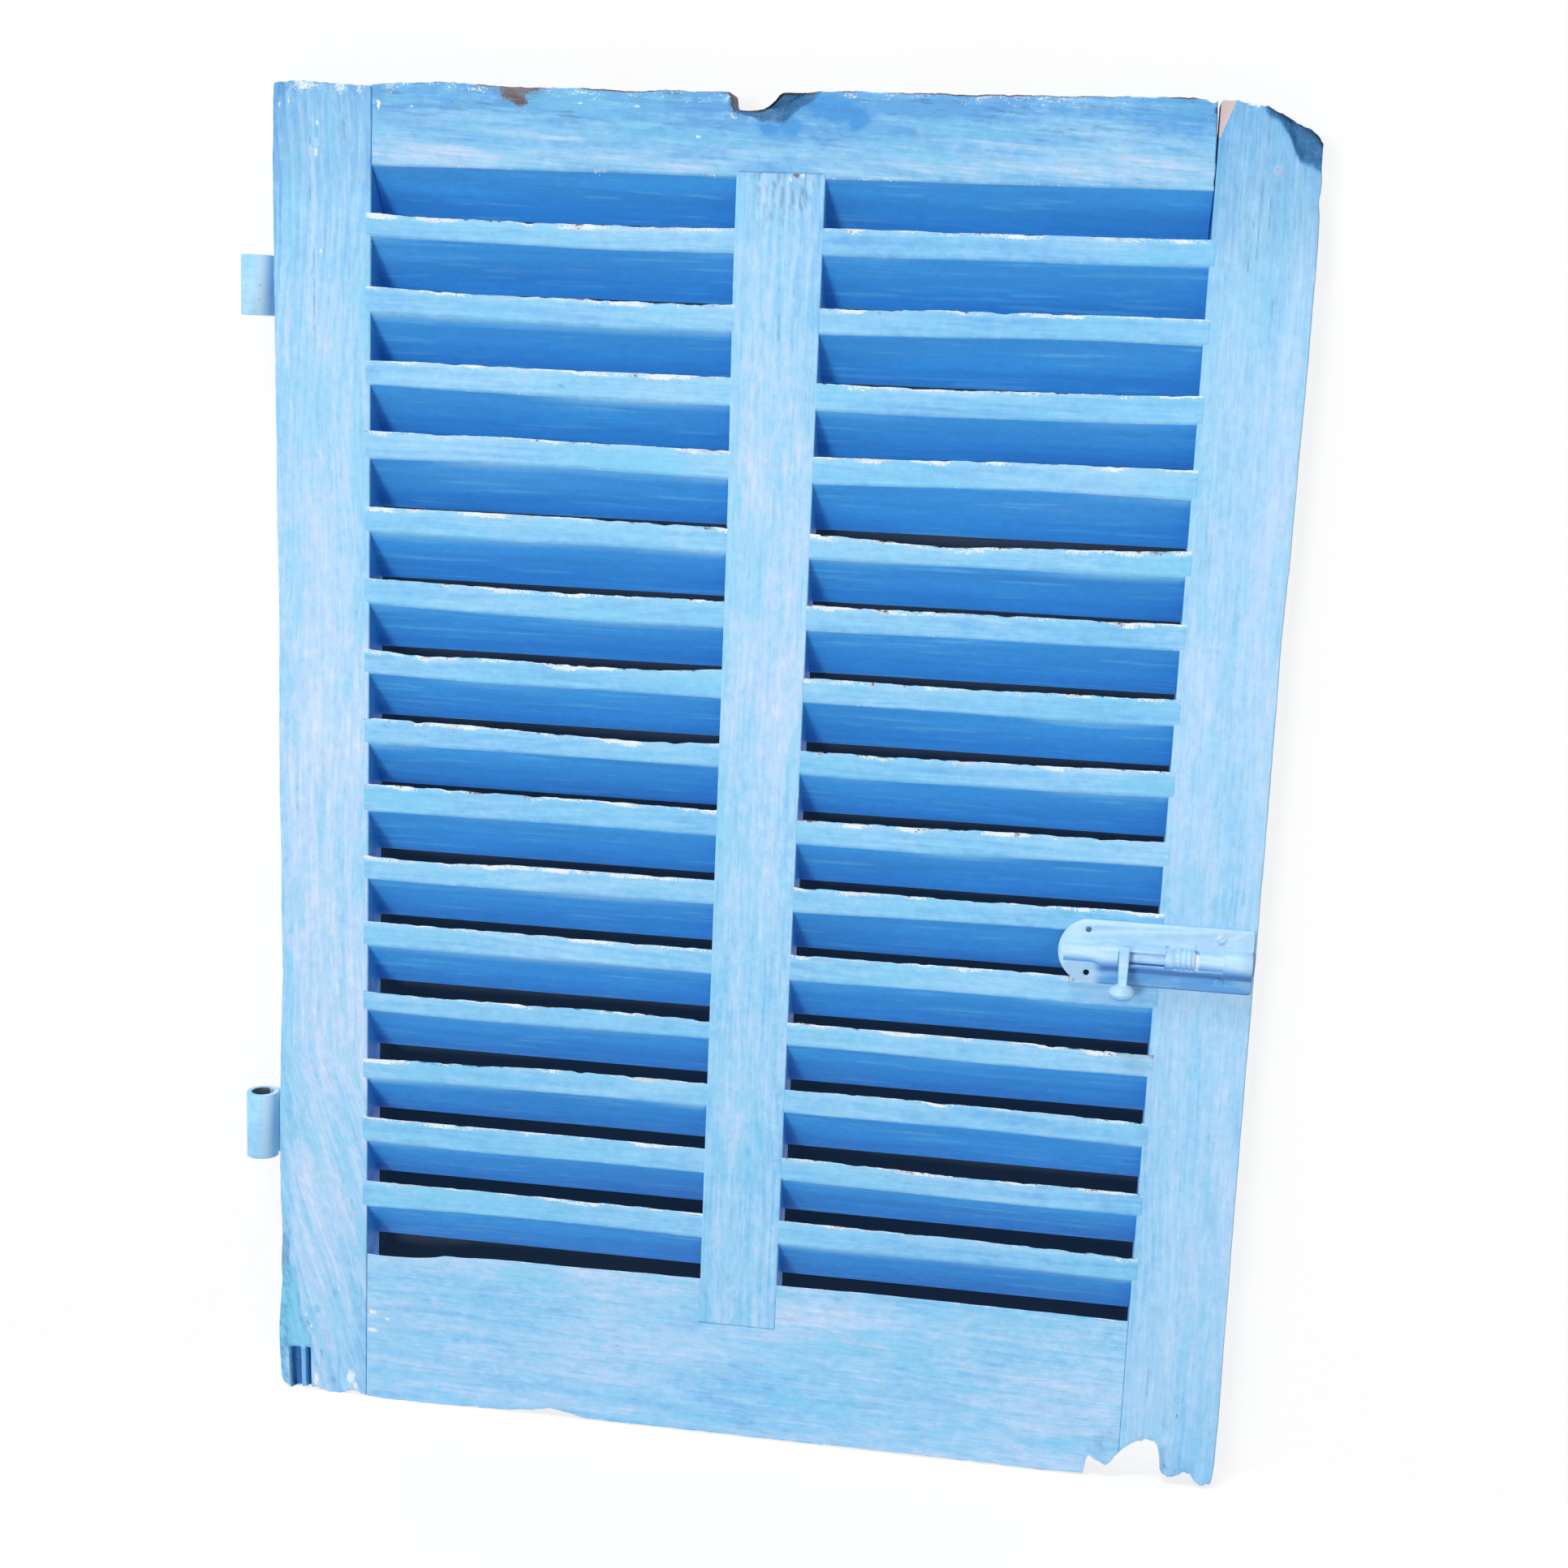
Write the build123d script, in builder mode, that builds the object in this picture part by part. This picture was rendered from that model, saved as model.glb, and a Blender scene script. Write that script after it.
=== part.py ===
# Louvered shutter leaf: a pegged wooden frame with two bays of fixed sloping slats,
# two rolled hinge eyes on the outside face and a barrel bolt on the room face.
#
# Frame of the model, in millimetres: +X runs from the hinge side to the lock side,
# +Y points outdoors and +Z points up. The origin is on the hinge pin's axis, at the
# bottom of the lower hinge eye, where the leaf's weight sits on its pintle.

import os
from math import cos, radians, sin, tan

from build123d import *

os.makedirs("parts", exist_ok=True)

# Wooden frame
frame_thickness = 30
stile_width = 71
mullion_width = 59
bay_width = 264.5
top_rail_face = 58
bottom_rail_face = 127
outer_arris = 1.5

# Slats
slat_count = 15
slat_pitch = 52
slat_thickness = 12
slat_slope = 50
slat_housing = 4
slat_arris = 1

# Mortise and tenon joints
tenon_thickness = 10
top_haunch = 20
bottom_haunch = 34
mullion_inset = 2
stub_length = 25
stub_shoulder = 8
peg_radius = 4
peg_sides = 8
peg_clearance = 0.1
peg_setback = 30

# Hinges
eye_bore_radius = 8.25
strap_thickness = 4
hinge_offset = 22
hinge_height = 184
upper_eye_drop = 123
lower_eye_length = 52
upper_eye_length = 43
strap_reach = 58
strap_corner = 6
eye_seam_angle = 35
hinge_screw_radius = 2.5
hinge_screw_inset = 11
hinge_screw_edge = 10

# Barrel bolt
plate_length = 138
plate_height = 47
plate_thickness = 2
plate_end_depth = 18
plate_corner = 2
plate_setback = 3
bolt_height = 408
bolt_screw_radius = 2.2
bolt_screw_rise = 16
rear_screw_position = 21
front_screw_position = 115
rod_radius = 5
rod_clearance = 0.25
rod_lift = 0.5
rod_nose_chamfer = 1
rear_barrel_start = 4
rear_barrel_step = 24
rear_barrel_shoulder = 31
rear_barrel_wall = 1
barrel_wall = 3.2
rod_tail = 12
slot_start = 43
slot_half_height = 4.8
guide_ring_start = 76
guide_ring_end = 82
guide_ring_wall = 1.6
bridge_start = 82
bridge_end = 97
bridge_wall = 1.2
bridge_rib_count = 3
bridge_rib_width = 1.6
bridge_rib_rise = 0.6
bridge_foot_rise = 10.5
bridge_foot_thickness = 1
front_barrel_start = 100
nose_start = 117
front_barrel_wall = 1
nose_wall = 2.8

# Handle of the bolt
handle_position = 47
handle_rise = 9.5
handle_reach = 24
handle_head_width = 7.6
handle_foot_width = 6
handle_thickness = 4.5
handle_edge = 0.8
handle_clearance = 0.8
stub_radius = 3
stub_clearance = 0.1
stub_seat_depth = 3
knob_radius = 9.3
knob_height = 12.6
knob_flats = 8

# Damage that the leaf shows: a bite in the top rail, the lock stile's broken top corner
# and rotted foot, and a slot broken out of the hinge stile below the tenon
bite_centre = 346
bite_width = 38
bite_depth = 15
broken_corner_run = 42
broken_corner_drop = 27
foot_bite_inset = 40
foot_bite_width = 33
foot_bite_height = 35
foot_wear = 11
foot_tooth_width = 9
rail_nibble_width = 23
rail_nibble_height = 9
broken_slot_inset = 8
broken_slot_width = 16
broken_slot_depth = 8

# Sizes that follow from the ones above
slope_rise = tan(radians(slat_slope))
slat_drop = frame_thickness * slope_rise
slat_edge = slat_thickness / cos(radians(slat_slope))
light_gap = slat_pitch - slat_edge
leaf_width = 2 * stile_width + mullion_width + 2 * bay_width
leaf_height = top_rail_face + slat_count * slat_pitch + light_gap + bottom_rail_face

leaf_left = hinge_offset
leaf_right = leaf_left + leaf_width
leaf_bottom = -hinge_height
leaf_top = leaf_bottom + leaf_height
outside_face = eye_bore_radius
room_face = outside_face - frame_thickness
middle_plane = outside_face - frame_thickness / 2

left_bay_start = leaf_left + stile_width
left_bay_end = left_bay_start + bay_width
right_bay_start = left_bay_end + mullion_width
right_bay_end = right_bay_start + bay_width

top_rail_lower = leaf_top - top_rail_face
bottom_rail_upper = leaf_bottom + bottom_rail_face
slat_levels = [top_rail_lower - row * slat_pitch for row in range(1, slat_count + 1)]
mullion_top = top_rail_lower + mullion_inset
mullion_bottom = bottom_rail_upper - slat_drop

# A tenon stays inside the sloping edge of its rail: it starts where the slope
# crosses the cheek of the tenon that is nearer to the cut
cheek = (frame_thickness - tenon_thickness) / 2
top_tenon = (top_rail_lower - cheek * slope_rise, leaf_top - top_haunch)
bottom_tenon = (
    leaf_bottom + bottom_haunch,
    bottom_rail_upper - (cheek + tenon_thickness) * slope_rise,
)
peg_levels = [sum(top_tenon) / 2, sum(bottom_tenon) / 2]

upper_eye_level = leaf_top - upper_eye_drop - upper_eye_length

plate_face = room_face - plate_thickness
rod_bore_radius = rod_radius + rod_clearance
rod_axis_y = plate_face - rod_radius - rod_lift
bolt_level = leaf_bottom + bolt_height
plate_right = leaf_right - plate_setback
plate_left = plate_right - plate_length
barrel_front = rod_axis_y - rod_bore_radius - barrel_wall
bar_back = barrel_front - handle_clearance


def board(start, end, low, high, arris_edges=None):
    """A board of the frame's thickness, from start to end across the leaf."""
    with BuildPart() as plank:
        with BuildSketch(Plane.YZ.offset(start)):
            with Locations((middle_plane, (low + high) / 2)):
                Rectangle(frame_thickness, high - low)
        extrude(amount=end - start)
        if arris_edges:
            fillet(arris_edges(plank.edges()), outer_arris)
    return plank.part


def cross_bar(start, end, low, high):
    """A bar of the tenon's thickness at the middle of the leaf: a tenon or its mortise."""
    with BuildPart() as bar:
        with BuildSketch(Plane.YZ.offset(start)):
            with Locations((middle_plane, (low + high) / 2)):
                Rectangle(tenon_thickness, high - low)
        extrude(amount=end - start)
    return bar.part


def slat_housings(start, depth):
    """The sloping grooves for all slats of a bay, cut from a board's edge at start."""
    with BuildPart() as housings:
        with BuildSketch(Plane.YZ.offset(start)):
            with Locations([(0, level) for level in slat_levels]):
                Polygon(*slat_section, align=None)
        extrude(amount=depth)
    return housings.part


def peg_holes(positions):
    """Round holes through the leaf for the pegs at the given places across it."""
    with BuildPart() as holes:
        with BuildSketch(Plane.XZ.offset(-outside_face)):
            with Locations([(x, z) for x in positions for z in peg_levels]):
                Circle(peg_radius + peg_clearance)
        extrude(amount=frame_thickness)
    return holes.part


def through_cut(outline):
    """A cut through the whole thickness of the leaf, from an outline seen from the room."""
    with BuildPart() as cut:
        with BuildSketch(Plane.XZ.offset(-outside_face)):
            add(outline)
        extrude(amount=frame_thickness)
    return cut.part


def keep(part, name):
    """Labels a finished piece and writes it to its own file."""
    part.label = name
    export_step(part, f"parts/{name}.step")


# The section of a slat, from its lower room-side corner, flush with both faces
slat_section = [
    (room_face, 0),
    (room_face, slat_edge),
    (outside_face, slat_edge - slat_drop),
    (outside_face, -slat_drop),
]

left_peg = leaf_left + peg_setback
right_peg = leaf_right - peg_setback

# Outlines of the damage, drawn on the room face
with BuildSketch() as bite_outline:
    with BuildLine():
        bite_left = leaf_left + bite_centre - bite_width / 2
        bite_right = bite_left + bite_width
        bite_floor = leaf_top - bite_depth
        Polyline(
            (bite_right, leaf_top),
            (bite_right, leaf_top + bite_depth),
            (bite_left, leaf_top + bite_depth),
            (bite_left, bite_floor + bite_width / 8),
        )
        TangentArc(
            (bite_left, bite_floor + bite_width / 8),
            (bite_left + bite_width / 8, bite_floor),
            tangent=(0, -1),
        )
        Line((bite_left + bite_width / 8, bite_floor), (bite_left + bite_width * 0.6, bite_floor))
        ThreePointArc(
            (bite_left + bite_width * 0.6, bite_floor),
            (bite_left + bite_width * 0.85, bite_floor + bite_depth * 0.4),
            (bite_right, leaf_top),
        )
    make_face()

with BuildSketch() as corner_outline:
    with BuildLine():
        Line(
            (leaf_right - broken_corner_run, leaf_top),
            (leaf_right - broken_corner_run * 0.26, leaf_top - broken_corner_drop * 0.58),
        )
        ThreePointArc(
            (leaf_right - broken_corner_run * 0.26, leaf_top - broken_corner_drop * 0.58),
            (leaf_right - broken_corner_run * 0.08, leaf_top - broken_corner_drop * 0.74),
            (leaf_right, leaf_top - broken_corner_drop),
        )
        Polyline(
            (leaf_right, leaf_top - broken_corner_drop),
            (leaf_right + broken_corner_run, leaf_top - broken_corner_drop),
            (leaf_right + broken_corner_run, leaf_top + broken_corner_drop),
            (leaf_right - broken_corner_run, leaf_top + broken_corner_drop),
            (leaf_right - broken_corner_run, leaf_top),
        )
    make_face()

with BuildSketch() as foot_outline:
    with BuildLine():
        bite_inner = leaf_right - foot_bite_inset - foot_bite_width
        bite_outer = leaf_right - foot_bite_inset
        ThreePointArc(
            (bite_inner, leaf_bottom + foot_wear * 0.7),
            (bite_inner + foot_bite_width * 0.35, leaf_bottom + foot_bite_height * 0.75),
            (bite_outer - foot_bite_width * 0.15, leaf_bottom + foot_bite_height),
        )
        TangentArc(
            (bite_outer - foot_bite_width * 0.15, leaf_bottom + foot_bite_height),
            (bite_outer, leaf_bottom + foot_bite_height * 0.85),
            tangent=(1, 0),
        )
        Polyline(
            (bite_outer, leaf_bottom + foot_bite_height * 0.85),
            (bite_outer, leaf_bottom + foot_wear),
            (leaf_right - 2 * foot_tooth_width, leaf_bottom + foot_wear * 1.2),
            (leaf_right - foot_tooth_width, leaf_bottom),
            (leaf_right - foot_tooth_width, leaf_bottom - foot_wear),
            (bite_inner, leaf_bottom - foot_wear),
            (bite_inner, leaf_bottom + foot_wear * 0.7),
        )
    make_face()

with BuildSketch() as nibble_outline:
    with Locations((right_bay_end, leaf_bottom)):
        Rectangle(
            2 * rail_nibble_width,
            2 * rail_nibble_height,
            align=(Align.CENTER, Align.CENTER),
        )
        fillet(nibble_outline.vertices(), rail_nibble_height / 3)

# Stiles. The hinge stile carries the left ends of the left bay's slats
hinge_blank = board(
    leaf_left,
    left_bay_start,
    leaf_bottom,
    leaf_top,
    lambda edges: edges.filter_by(Axis.Z).group_by(Axis.X)[0],
)
lock_blank = board(
    right_bay_end,
    leaf_right,
    leaf_bottom,
    leaf_top,
    lambda edges: edges.filter_by(Axis.Z).group_by(Axis.X)[-1],
)

with BuildPart() as hinge_stile:
    add(hinge_blank)
    add(cross_bar(leaf_left, left_bay_start, *top_tenon), mode=Mode.SUBTRACT)
    add(cross_bar(leaf_left, left_bay_start, *bottom_tenon), mode=Mode.SUBTRACT)
    add(slat_housings(left_bay_start, -slat_housing), mode=Mode.SUBTRACT)
    add(peg_holes([left_peg]), mode=Mode.SUBTRACT)
    with BuildSketch(Plane.XZ.offset(-room_face)):
        with Locations((leaf_left + broken_slot_inset, leaf_bottom)):
            Rectangle(broken_slot_width, bottom_haunch, align=(Align.MIN, Align.MIN))
    extrude(amount=-broken_slot_depth, mode=Mode.SUBTRACT)
keep(hinge_stile.part, "hinge_stile")

with BuildPart() as lock_stile:
    add(lock_blank)
    add(cross_bar(right_bay_end, leaf_right, *top_tenon), mode=Mode.SUBTRACT)
    add(cross_bar(right_bay_end, leaf_right, *bottom_tenon), mode=Mode.SUBTRACT)
    add(slat_housings(right_bay_end, slat_housing), mode=Mode.SUBTRACT)
    add(peg_holes([right_peg]), mode=Mode.SUBTRACT)
    add(through_cut(corner_outline.sketch), mode=Mode.SUBTRACT)
    add(through_cut(foot_outline.sketch), mode=Mode.SUBTRACT)
keep(lock_stile.part, "lock_stile")

# Rails. Their inner edges slope with the slats, their tenons run through the stiles
with BuildPart() as top_rail:
    with BuildSketch(Plane.YZ.offset(left_bay_start)):
        Polygon(
            (room_face, top_rail_lower),
            (room_face, leaf_top),
            (outside_face, leaf_top),
            (outside_face, top_rail_lower - slat_drop),
            align=None,
        )
    extrude(amount=right_bay_end - left_bay_start)
    fillet(top_rail.edges().filter_by(Axis.X).group_by(Axis.Z)[-1], outer_arris)
    add(cross_bar(leaf_left, leaf_right, *top_tenon))
    with Locations((left_bay_end, middle_plane, mullion_top)):
        Box(
            mullion_width,
            frame_thickness,
            mullion_inset + slat_drop,
            align=(Align.MIN, Align.CENTER, Align.MAX),
            mode=Mode.SUBTRACT,
        )
        with Locations((mullion_width / 2, 0, 0)):
            Box(
                mullion_width - 2 * stub_shoulder,
                tenon_thickness,
                stub_length,
                align=(Align.CENTER, Align.CENTER, Align.MIN),
                mode=Mode.SUBTRACT,
            )
    add(peg_holes([left_peg, right_peg]), mode=Mode.SUBTRACT)
    add(through_cut(bite_outline.sketch), mode=Mode.SUBTRACT)
keep(top_rail.part, "top_rail")

with BuildPart() as bottom_rail:
    with BuildSketch(Plane.YZ.offset(left_bay_start)):
        Polygon(
            (room_face, leaf_bottom),
            (room_face, bottom_rail_upper),
            (outside_face, bottom_rail_upper - slat_drop),
            (outside_face, leaf_bottom),
            align=None,
        )
    extrude(amount=right_bay_end - left_bay_start)
    fillet(bottom_rail.edges().filter_by(Axis.X).group_by(Axis.Z)[0], outer_arris)
    add(cross_bar(leaf_left, leaf_right, *bottom_tenon))
    with Locations((left_bay_end, middle_plane, mullion_bottom)):
        Box(
            mullion_width,
            frame_thickness,
            slat_drop,
            align=(Align.MIN, Align.CENTER, Align.MIN),
            mode=Mode.SUBTRACT,
        )
        with Locations((mullion_width / 2, 0, 0)):
            Box(
                mullion_width - 2 * stub_shoulder,
                tenon_thickness,
                stub_length,
                align=(Align.CENTER, Align.CENTER, Align.MAX),
                mode=Mode.SUBTRACT,
            )
    add(peg_holes([left_peg, right_peg]), mode=Mode.SUBTRACT)
    add(through_cut(nibble_outline.sketch), mode=Mode.SUBTRACT)
keep(bottom_rail.part, "bottom_rail")

# The mullion stands in square notches across the rails' sloping edges
with BuildPart() as mullion:
    add(board(left_bay_end, right_bay_start, mullion_bottom, mullion_top))
    with Locations(((left_bay_end + right_bay_start) / 2, middle_plane, mullion_bottom - stub_length)):
        Box(
            mullion_width - 2 * stub_shoulder,
            tenon_thickness,
            mullion_top - mullion_bottom + 2 * stub_length,
            align=(Align.CENTER, Align.CENTER, Align.MIN),
        )
    add(slat_housings(left_bay_end, slat_housing), mode=Mode.SUBTRACT)
    add(slat_housings(right_bay_start, -slat_housing), mode=Mode.SUBTRACT)
keep(mullion.part, "mullion")

# Slats, numbered from the top in each bay
for side, bay_start in (("left", left_bay_start), ("right", right_bay_start)):
    for number, level in enumerate(slat_levels, start=1):
        with BuildPart() as slat:
            with BuildSketch(Plane.YZ.offset(bay_start - slat_housing)):
                with Locations((0, level)):
                    Polygon(*slat_section, align=None)
            extrude(amount=bay_width + 2 * slat_housing)
            chamfer(slat.edges().filter_by(Axis.X), slat_arris)
        keep(slat.part, f"{side}_slat_{number:02d}")

# Pegs that lock the tenons, split and shaved to flats
for side, peg_x in (("left", left_peg), ("right", right_peg)):
    for end, peg_level in zip(("top", "bottom"), peg_levels):
        with BuildPart() as peg:
            with BuildSketch(Plane.XZ.offset(-outside_face)):
                with Locations((peg_x, peg_level)):
                    RegularPolygon(peg_radius, peg_sides)
            extrude(amount=frame_thickness)
        keep(peg.part, f"{end}_{side}_peg")

# Hinges. A strap on the outside face is rolled into an eye around the pintle
eye_radius = eye_bore_radius + strap_thickness
strap_end = leaf_left + strap_reach
near_screws = leaf_left + hinge_screw_inset
far_screw = strap_end - hinge_screw_inset
for name, level, eye_length in (
    ("lower_hinge", 0, lower_eye_length),
    ("upper_hinge", upper_eye_level, upper_eye_length),
):
    with BuildPart() as hinge:
        with BuildSketch(Plane.XY.offset(level)):
            with BuildLine():
                roll = 270 + eye_seam_angle
                CenterArc((0, 0), eye_radius, 90, roll)
                CenterArc((0, 0), eye_bore_radius, 90, roll)
                Line(
                    (
                        eye_bore_radius * cos(radians(eye_seam_angle)),
                        eye_bore_radius * sin(radians(eye_seam_angle)),
                    ),
                    (
                        eye_radius * cos(radians(eye_seam_angle)),
                        eye_radius * sin(radians(eye_seam_angle)),
                    ),
                )
                Line((0, eye_bore_radius), (0, eye_radius))
            make_face()
            with Locations((0, eye_bore_radius)):
                Rectangle(strap_end, strap_thickness, align=(Align.MIN, Align.MIN))
        extrude(amount=eye_length)
        fillet(hinge.edges().filter_by(Axis.Y).group_by(Axis.X)[-1], strap_corner)
        with Locations(Plane.XZ.offset(-outside_face - strap_thickness)):
            with Locations(
                (near_screws, level + hinge_screw_edge),
                (near_screws, level + eye_length - hinge_screw_edge),
                (far_screw, level + eye_length / 2),
            ):
                Hole(hinge_screw_radius)
    keep(hinge.part, name)


def barrel_outline(wall):
    """The section of a raised barrel: a round top on straight sides that reach the plate."""
    radius = rod_bore_radius + wall
    with BuildSketch() as outline:
        with Locations((rod_axis_y, bolt_level)):
            Circle(radius)
        with Locations((plate_face, bolt_level)):
            Rectangle(
                plate_face - rod_axis_y,
                2 * radius,
                align=(Align.MAX, Align.CENTER),
            )
            Rectangle(
                radius,
                2 * radius,
                align=(Align.MIN, Align.CENTER),
                mode=Mode.SUBTRACT,
            )
    return outline.sketch


def barrel(start, end, wall):
    """A length of raised barrel, from start to end along the plate."""
    with BuildPart() as tunnel:
        with BuildSketch(Plane.YZ.offset(plate_left + start)):
            add(barrel_outline(wall))
        extrude(amount=end - start)
    return tunnel.part


def barrel_shoulder(start, end, first_wall, last_wall):
    """The stretch where a raised barrel swells from one wall to another."""
    with BuildPart() as swell:
        with BuildSketch(Plane.YZ.offset(plate_left + start)):
            add(barrel_outline(first_wall))
        with BuildSketch(Plane.YZ.offset(plate_left + end)):
            add(barrel_outline(last_wall))
        loft(ruled=True)
    return swell.part


# Barrel bolt. One pressed plate carries the barrels. The long one has a slot in its front
# for the handle, and the rod is bare between the bridge and the front barrel
bridge_rib_step = (bridge_end - bridge_start) / (bridge_rib_count + 1)
with BuildPart() as bolt_plate:
    with BuildSketch(Plane.XZ.offset(-room_face)) as plate_outline:
        with BuildLine():
            plate_top = bolt_level + plate_height / 2
            plate_base = bolt_level - plate_height / 2
            ThreePointArc(
                (plate_left + plate_end_depth, plate_top),
                (plate_left, bolt_level),
                (plate_left + plate_end_depth, plate_base),
            )
            Polyline(
                (plate_left + plate_end_depth, plate_base),
                (plate_right, plate_base),
                (plate_right, plate_top),
                (plate_left + plate_end_depth, plate_top),
            )
        make_face()
        fillet(plate_outline.vertices().group_by(Axis.X)[-1], plate_corner)
        with Locations(
            *[
                (plate_left + x, bolt_level + rise)
                for x in (rear_screw_position, front_screw_position)
                for rise in (-bolt_screw_rise, bolt_screw_rise)
            ]
        ):
            Circle(bolt_screw_radius, mode=Mode.SUBTRACT)
    extrude(amount=plate_thickness)
    add(barrel(rear_barrel_start, rear_barrel_step, rear_barrel_wall))
    add(
        barrel_shoulder(
            rear_barrel_step,
            rear_barrel_shoulder,
            rear_barrel_wall,
            barrel_wall,
        )
    )
    add(barrel(rear_barrel_shoulder, guide_ring_start, barrel_wall))
    add(barrel(guide_ring_start, guide_ring_end, guide_ring_wall))
    add(barrel(bridge_start, bridge_end, bridge_wall))
    with Locations((plate_left + bridge_start, plate_face, bolt_level)):
        Box(
            bridge_end - bridge_start,
            bridge_foot_thickness,
            2 * bridge_foot_rise,
            align=(Align.MIN, Align.MAX, Align.CENTER),
        )
    for rib in range(1, bridge_rib_count + 1):
        rib_start = bridge_start + rib * bridge_rib_step - bridge_rib_width / 2
        add(barrel(rib_start, rib_start + bridge_rib_width, bridge_wall + bridge_rib_rise))
    add(barrel(front_barrel_start, nose_start, front_barrel_wall))
    add(barrel(nose_start, plate_length, nose_wall))
    with BuildSketch(Plane.YZ.offset(plate_left + rod_tail - 1)):
        with Locations((rod_axis_y, bolt_level)):
            Circle(rod_bore_radius)
    extrude(amount=plate_length, mode=Mode.SUBTRACT)
    with Locations((plate_left + slot_start, rod_axis_y, bolt_level)):
        Box(
            guide_ring_start - slot_start,
            rod_axis_y - barrel_front,
            2 * slot_half_height,
            align=(Align.MIN, Align.MAX, Align.CENTER),
            mode=Mode.SUBTRACT,
        )
keep(bolt_plate.part, "bolt_plate")

# A stub from the rod passes through the slot and carries a flat bar with a turned knob
handle_x = plate_left + handle_position
stub_seat = rod_radius - stub_seat_depth
knob_level = bolt_level - handle_reach
knob_centre = (handle_x, bar_back - handle_thickness / 2, knob_level)

with BuildPart() as bolt_rod:
    with BuildSketch(Plane.YZ.offset(plate_left + rod_tail)):
        with Locations((rod_axis_y, bolt_level)):
            Circle(rod_radius)
    extrude(amount=plate_length - rod_tail)
    chamfer(bolt_rod.faces().sort_by(Axis.X)[-1].edges(), rod_nose_chamfer)
    with BuildSketch(Plane.XZ.offset(stub_seat - rod_axis_y)):
        with Locations((handle_x, bolt_level)):
            Circle(stub_radius + stub_clearance)
    extrude(amount=rod_radius, mode=Mode.SUBTRACT)
keep(bolt_rod.part, "bolt_rod")

with BuildPart() as bolt_handle:
    with BuildSketch(Plane.XZ.offset(-bar_back)):
        Polygon(
            (handle_x - handle_head_width / 2, bolt_level + handle_rise),
            (handle_x + handle_head_width / 2, bolt_level + handle_rise),
            (handle_x + handle_foot_width / 2, knob_level),
            (handle_x - handle_foot_width / 2, knob_level),
            align=None,
        )
    extrude(amount=handle_thickness)
    chamfer(bolt_handle.faces().sort_by(Axis.Y)[0].edges(), handle_edge)
    with BuildSketch(Plane(origin=knob_centre, x_dir=(0, 1, 0), z_dir=(1, 0, 0))):
        with BuildLine():
            Polyline(
                *[
                    (
                        knob_radius * sin(radians(180 * step / knob_flats)),
                        -knob_height / 2 * cos(radians(180 * step / knob_flats)),
                    )
                    for step in range(knob_flats + 1)
                ],
                close=True,
            )
        make_face()
    revolve(axis=Axis(knob_centre, (0, 0, 1)))
    with BuildSketch(Plane.XZ.offset(stub_seat - rod_axis_y)):
        with Locations((handle_x, bolt_level)):
            Circle(stub_radius)
    extrude(amount=rod_axis_y - stub_seat - bar_back)
keep(bolt_handle.part, "bolt_handle")
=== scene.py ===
import math

import bmesh
import bpy
import numpy as np
from mathutils import Matrix, Vector


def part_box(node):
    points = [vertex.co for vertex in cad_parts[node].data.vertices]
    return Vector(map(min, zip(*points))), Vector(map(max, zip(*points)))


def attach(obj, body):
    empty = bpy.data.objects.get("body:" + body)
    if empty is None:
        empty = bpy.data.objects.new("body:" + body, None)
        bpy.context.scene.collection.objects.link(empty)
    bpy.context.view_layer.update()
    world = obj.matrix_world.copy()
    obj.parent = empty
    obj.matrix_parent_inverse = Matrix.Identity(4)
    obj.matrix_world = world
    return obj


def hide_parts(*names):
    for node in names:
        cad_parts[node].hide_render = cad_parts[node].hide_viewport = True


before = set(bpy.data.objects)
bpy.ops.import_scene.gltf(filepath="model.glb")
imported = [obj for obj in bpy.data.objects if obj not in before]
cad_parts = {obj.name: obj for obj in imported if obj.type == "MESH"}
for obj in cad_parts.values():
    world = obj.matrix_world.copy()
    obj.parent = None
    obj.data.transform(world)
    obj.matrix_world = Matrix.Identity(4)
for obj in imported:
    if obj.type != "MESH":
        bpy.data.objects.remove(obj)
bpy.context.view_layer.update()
print("stage: frame loaded")

# Lengths in the script are millimetres. Meshes are written in metres
milli = 0.001


def boxMm(node):
    low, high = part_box(node)
    return np.array(low) / milli, np.array(high) / milli


hingeLow, hingeHigh = boxMm("hinge_stile")
lockLow, lockHigh = boxMm("lock_stile")
mullionLow, mullionHigh = boxMm("mullion")
leafLeft, leafRight = hingeLow[0], lockHigh[0]
leafBottom, leafTop = hingeLow[2], hingeHigh[2]
roomFace, outsideFace = hingeLow[1], hingeHigh[1]
thickness = outsideFace - roomFace
leftBay = (hingeHigh[0], mullionLow[0])
rightBay = (mullionHigh[0], lockLow[0])
slatAngle = math.radians(50)
slatThickness = 12
slatPitch = 52
slatCount = 15
housing = 4
topRailFace = 58
bottomRailFace = 127
slope = math.tan(slatAngle)
slatEdge = slatThickness / math.cos(slatAngle)
topRailLower = leafTop - topRailFace
bottomRailUpper = leafBottom + bottomRailFace

# Noise and curves. Noise can be held to some directions by multiplying its points
faceOnly, acrossOnly, upOnly = (1, 0, 1), (1, 0, 0), (0, 0, 1)
hashSteps = (374761393, 668265263, 974634777, 362437)


def randomAt(i, j, k, seed):
    # a whole-number hash of a cell, from -1 to 1
    h = sum(part * step for part, step in zip((i, j, k, seed), hashSteps)) & 0xFFFFFFFF
    h = ((h ^ (h >> 13)) * 1274126177) & 0xFFFFFFFF
    return ((h ^ (h >> 16)) & 0xFFFF) / 32767.5 - 1


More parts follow.
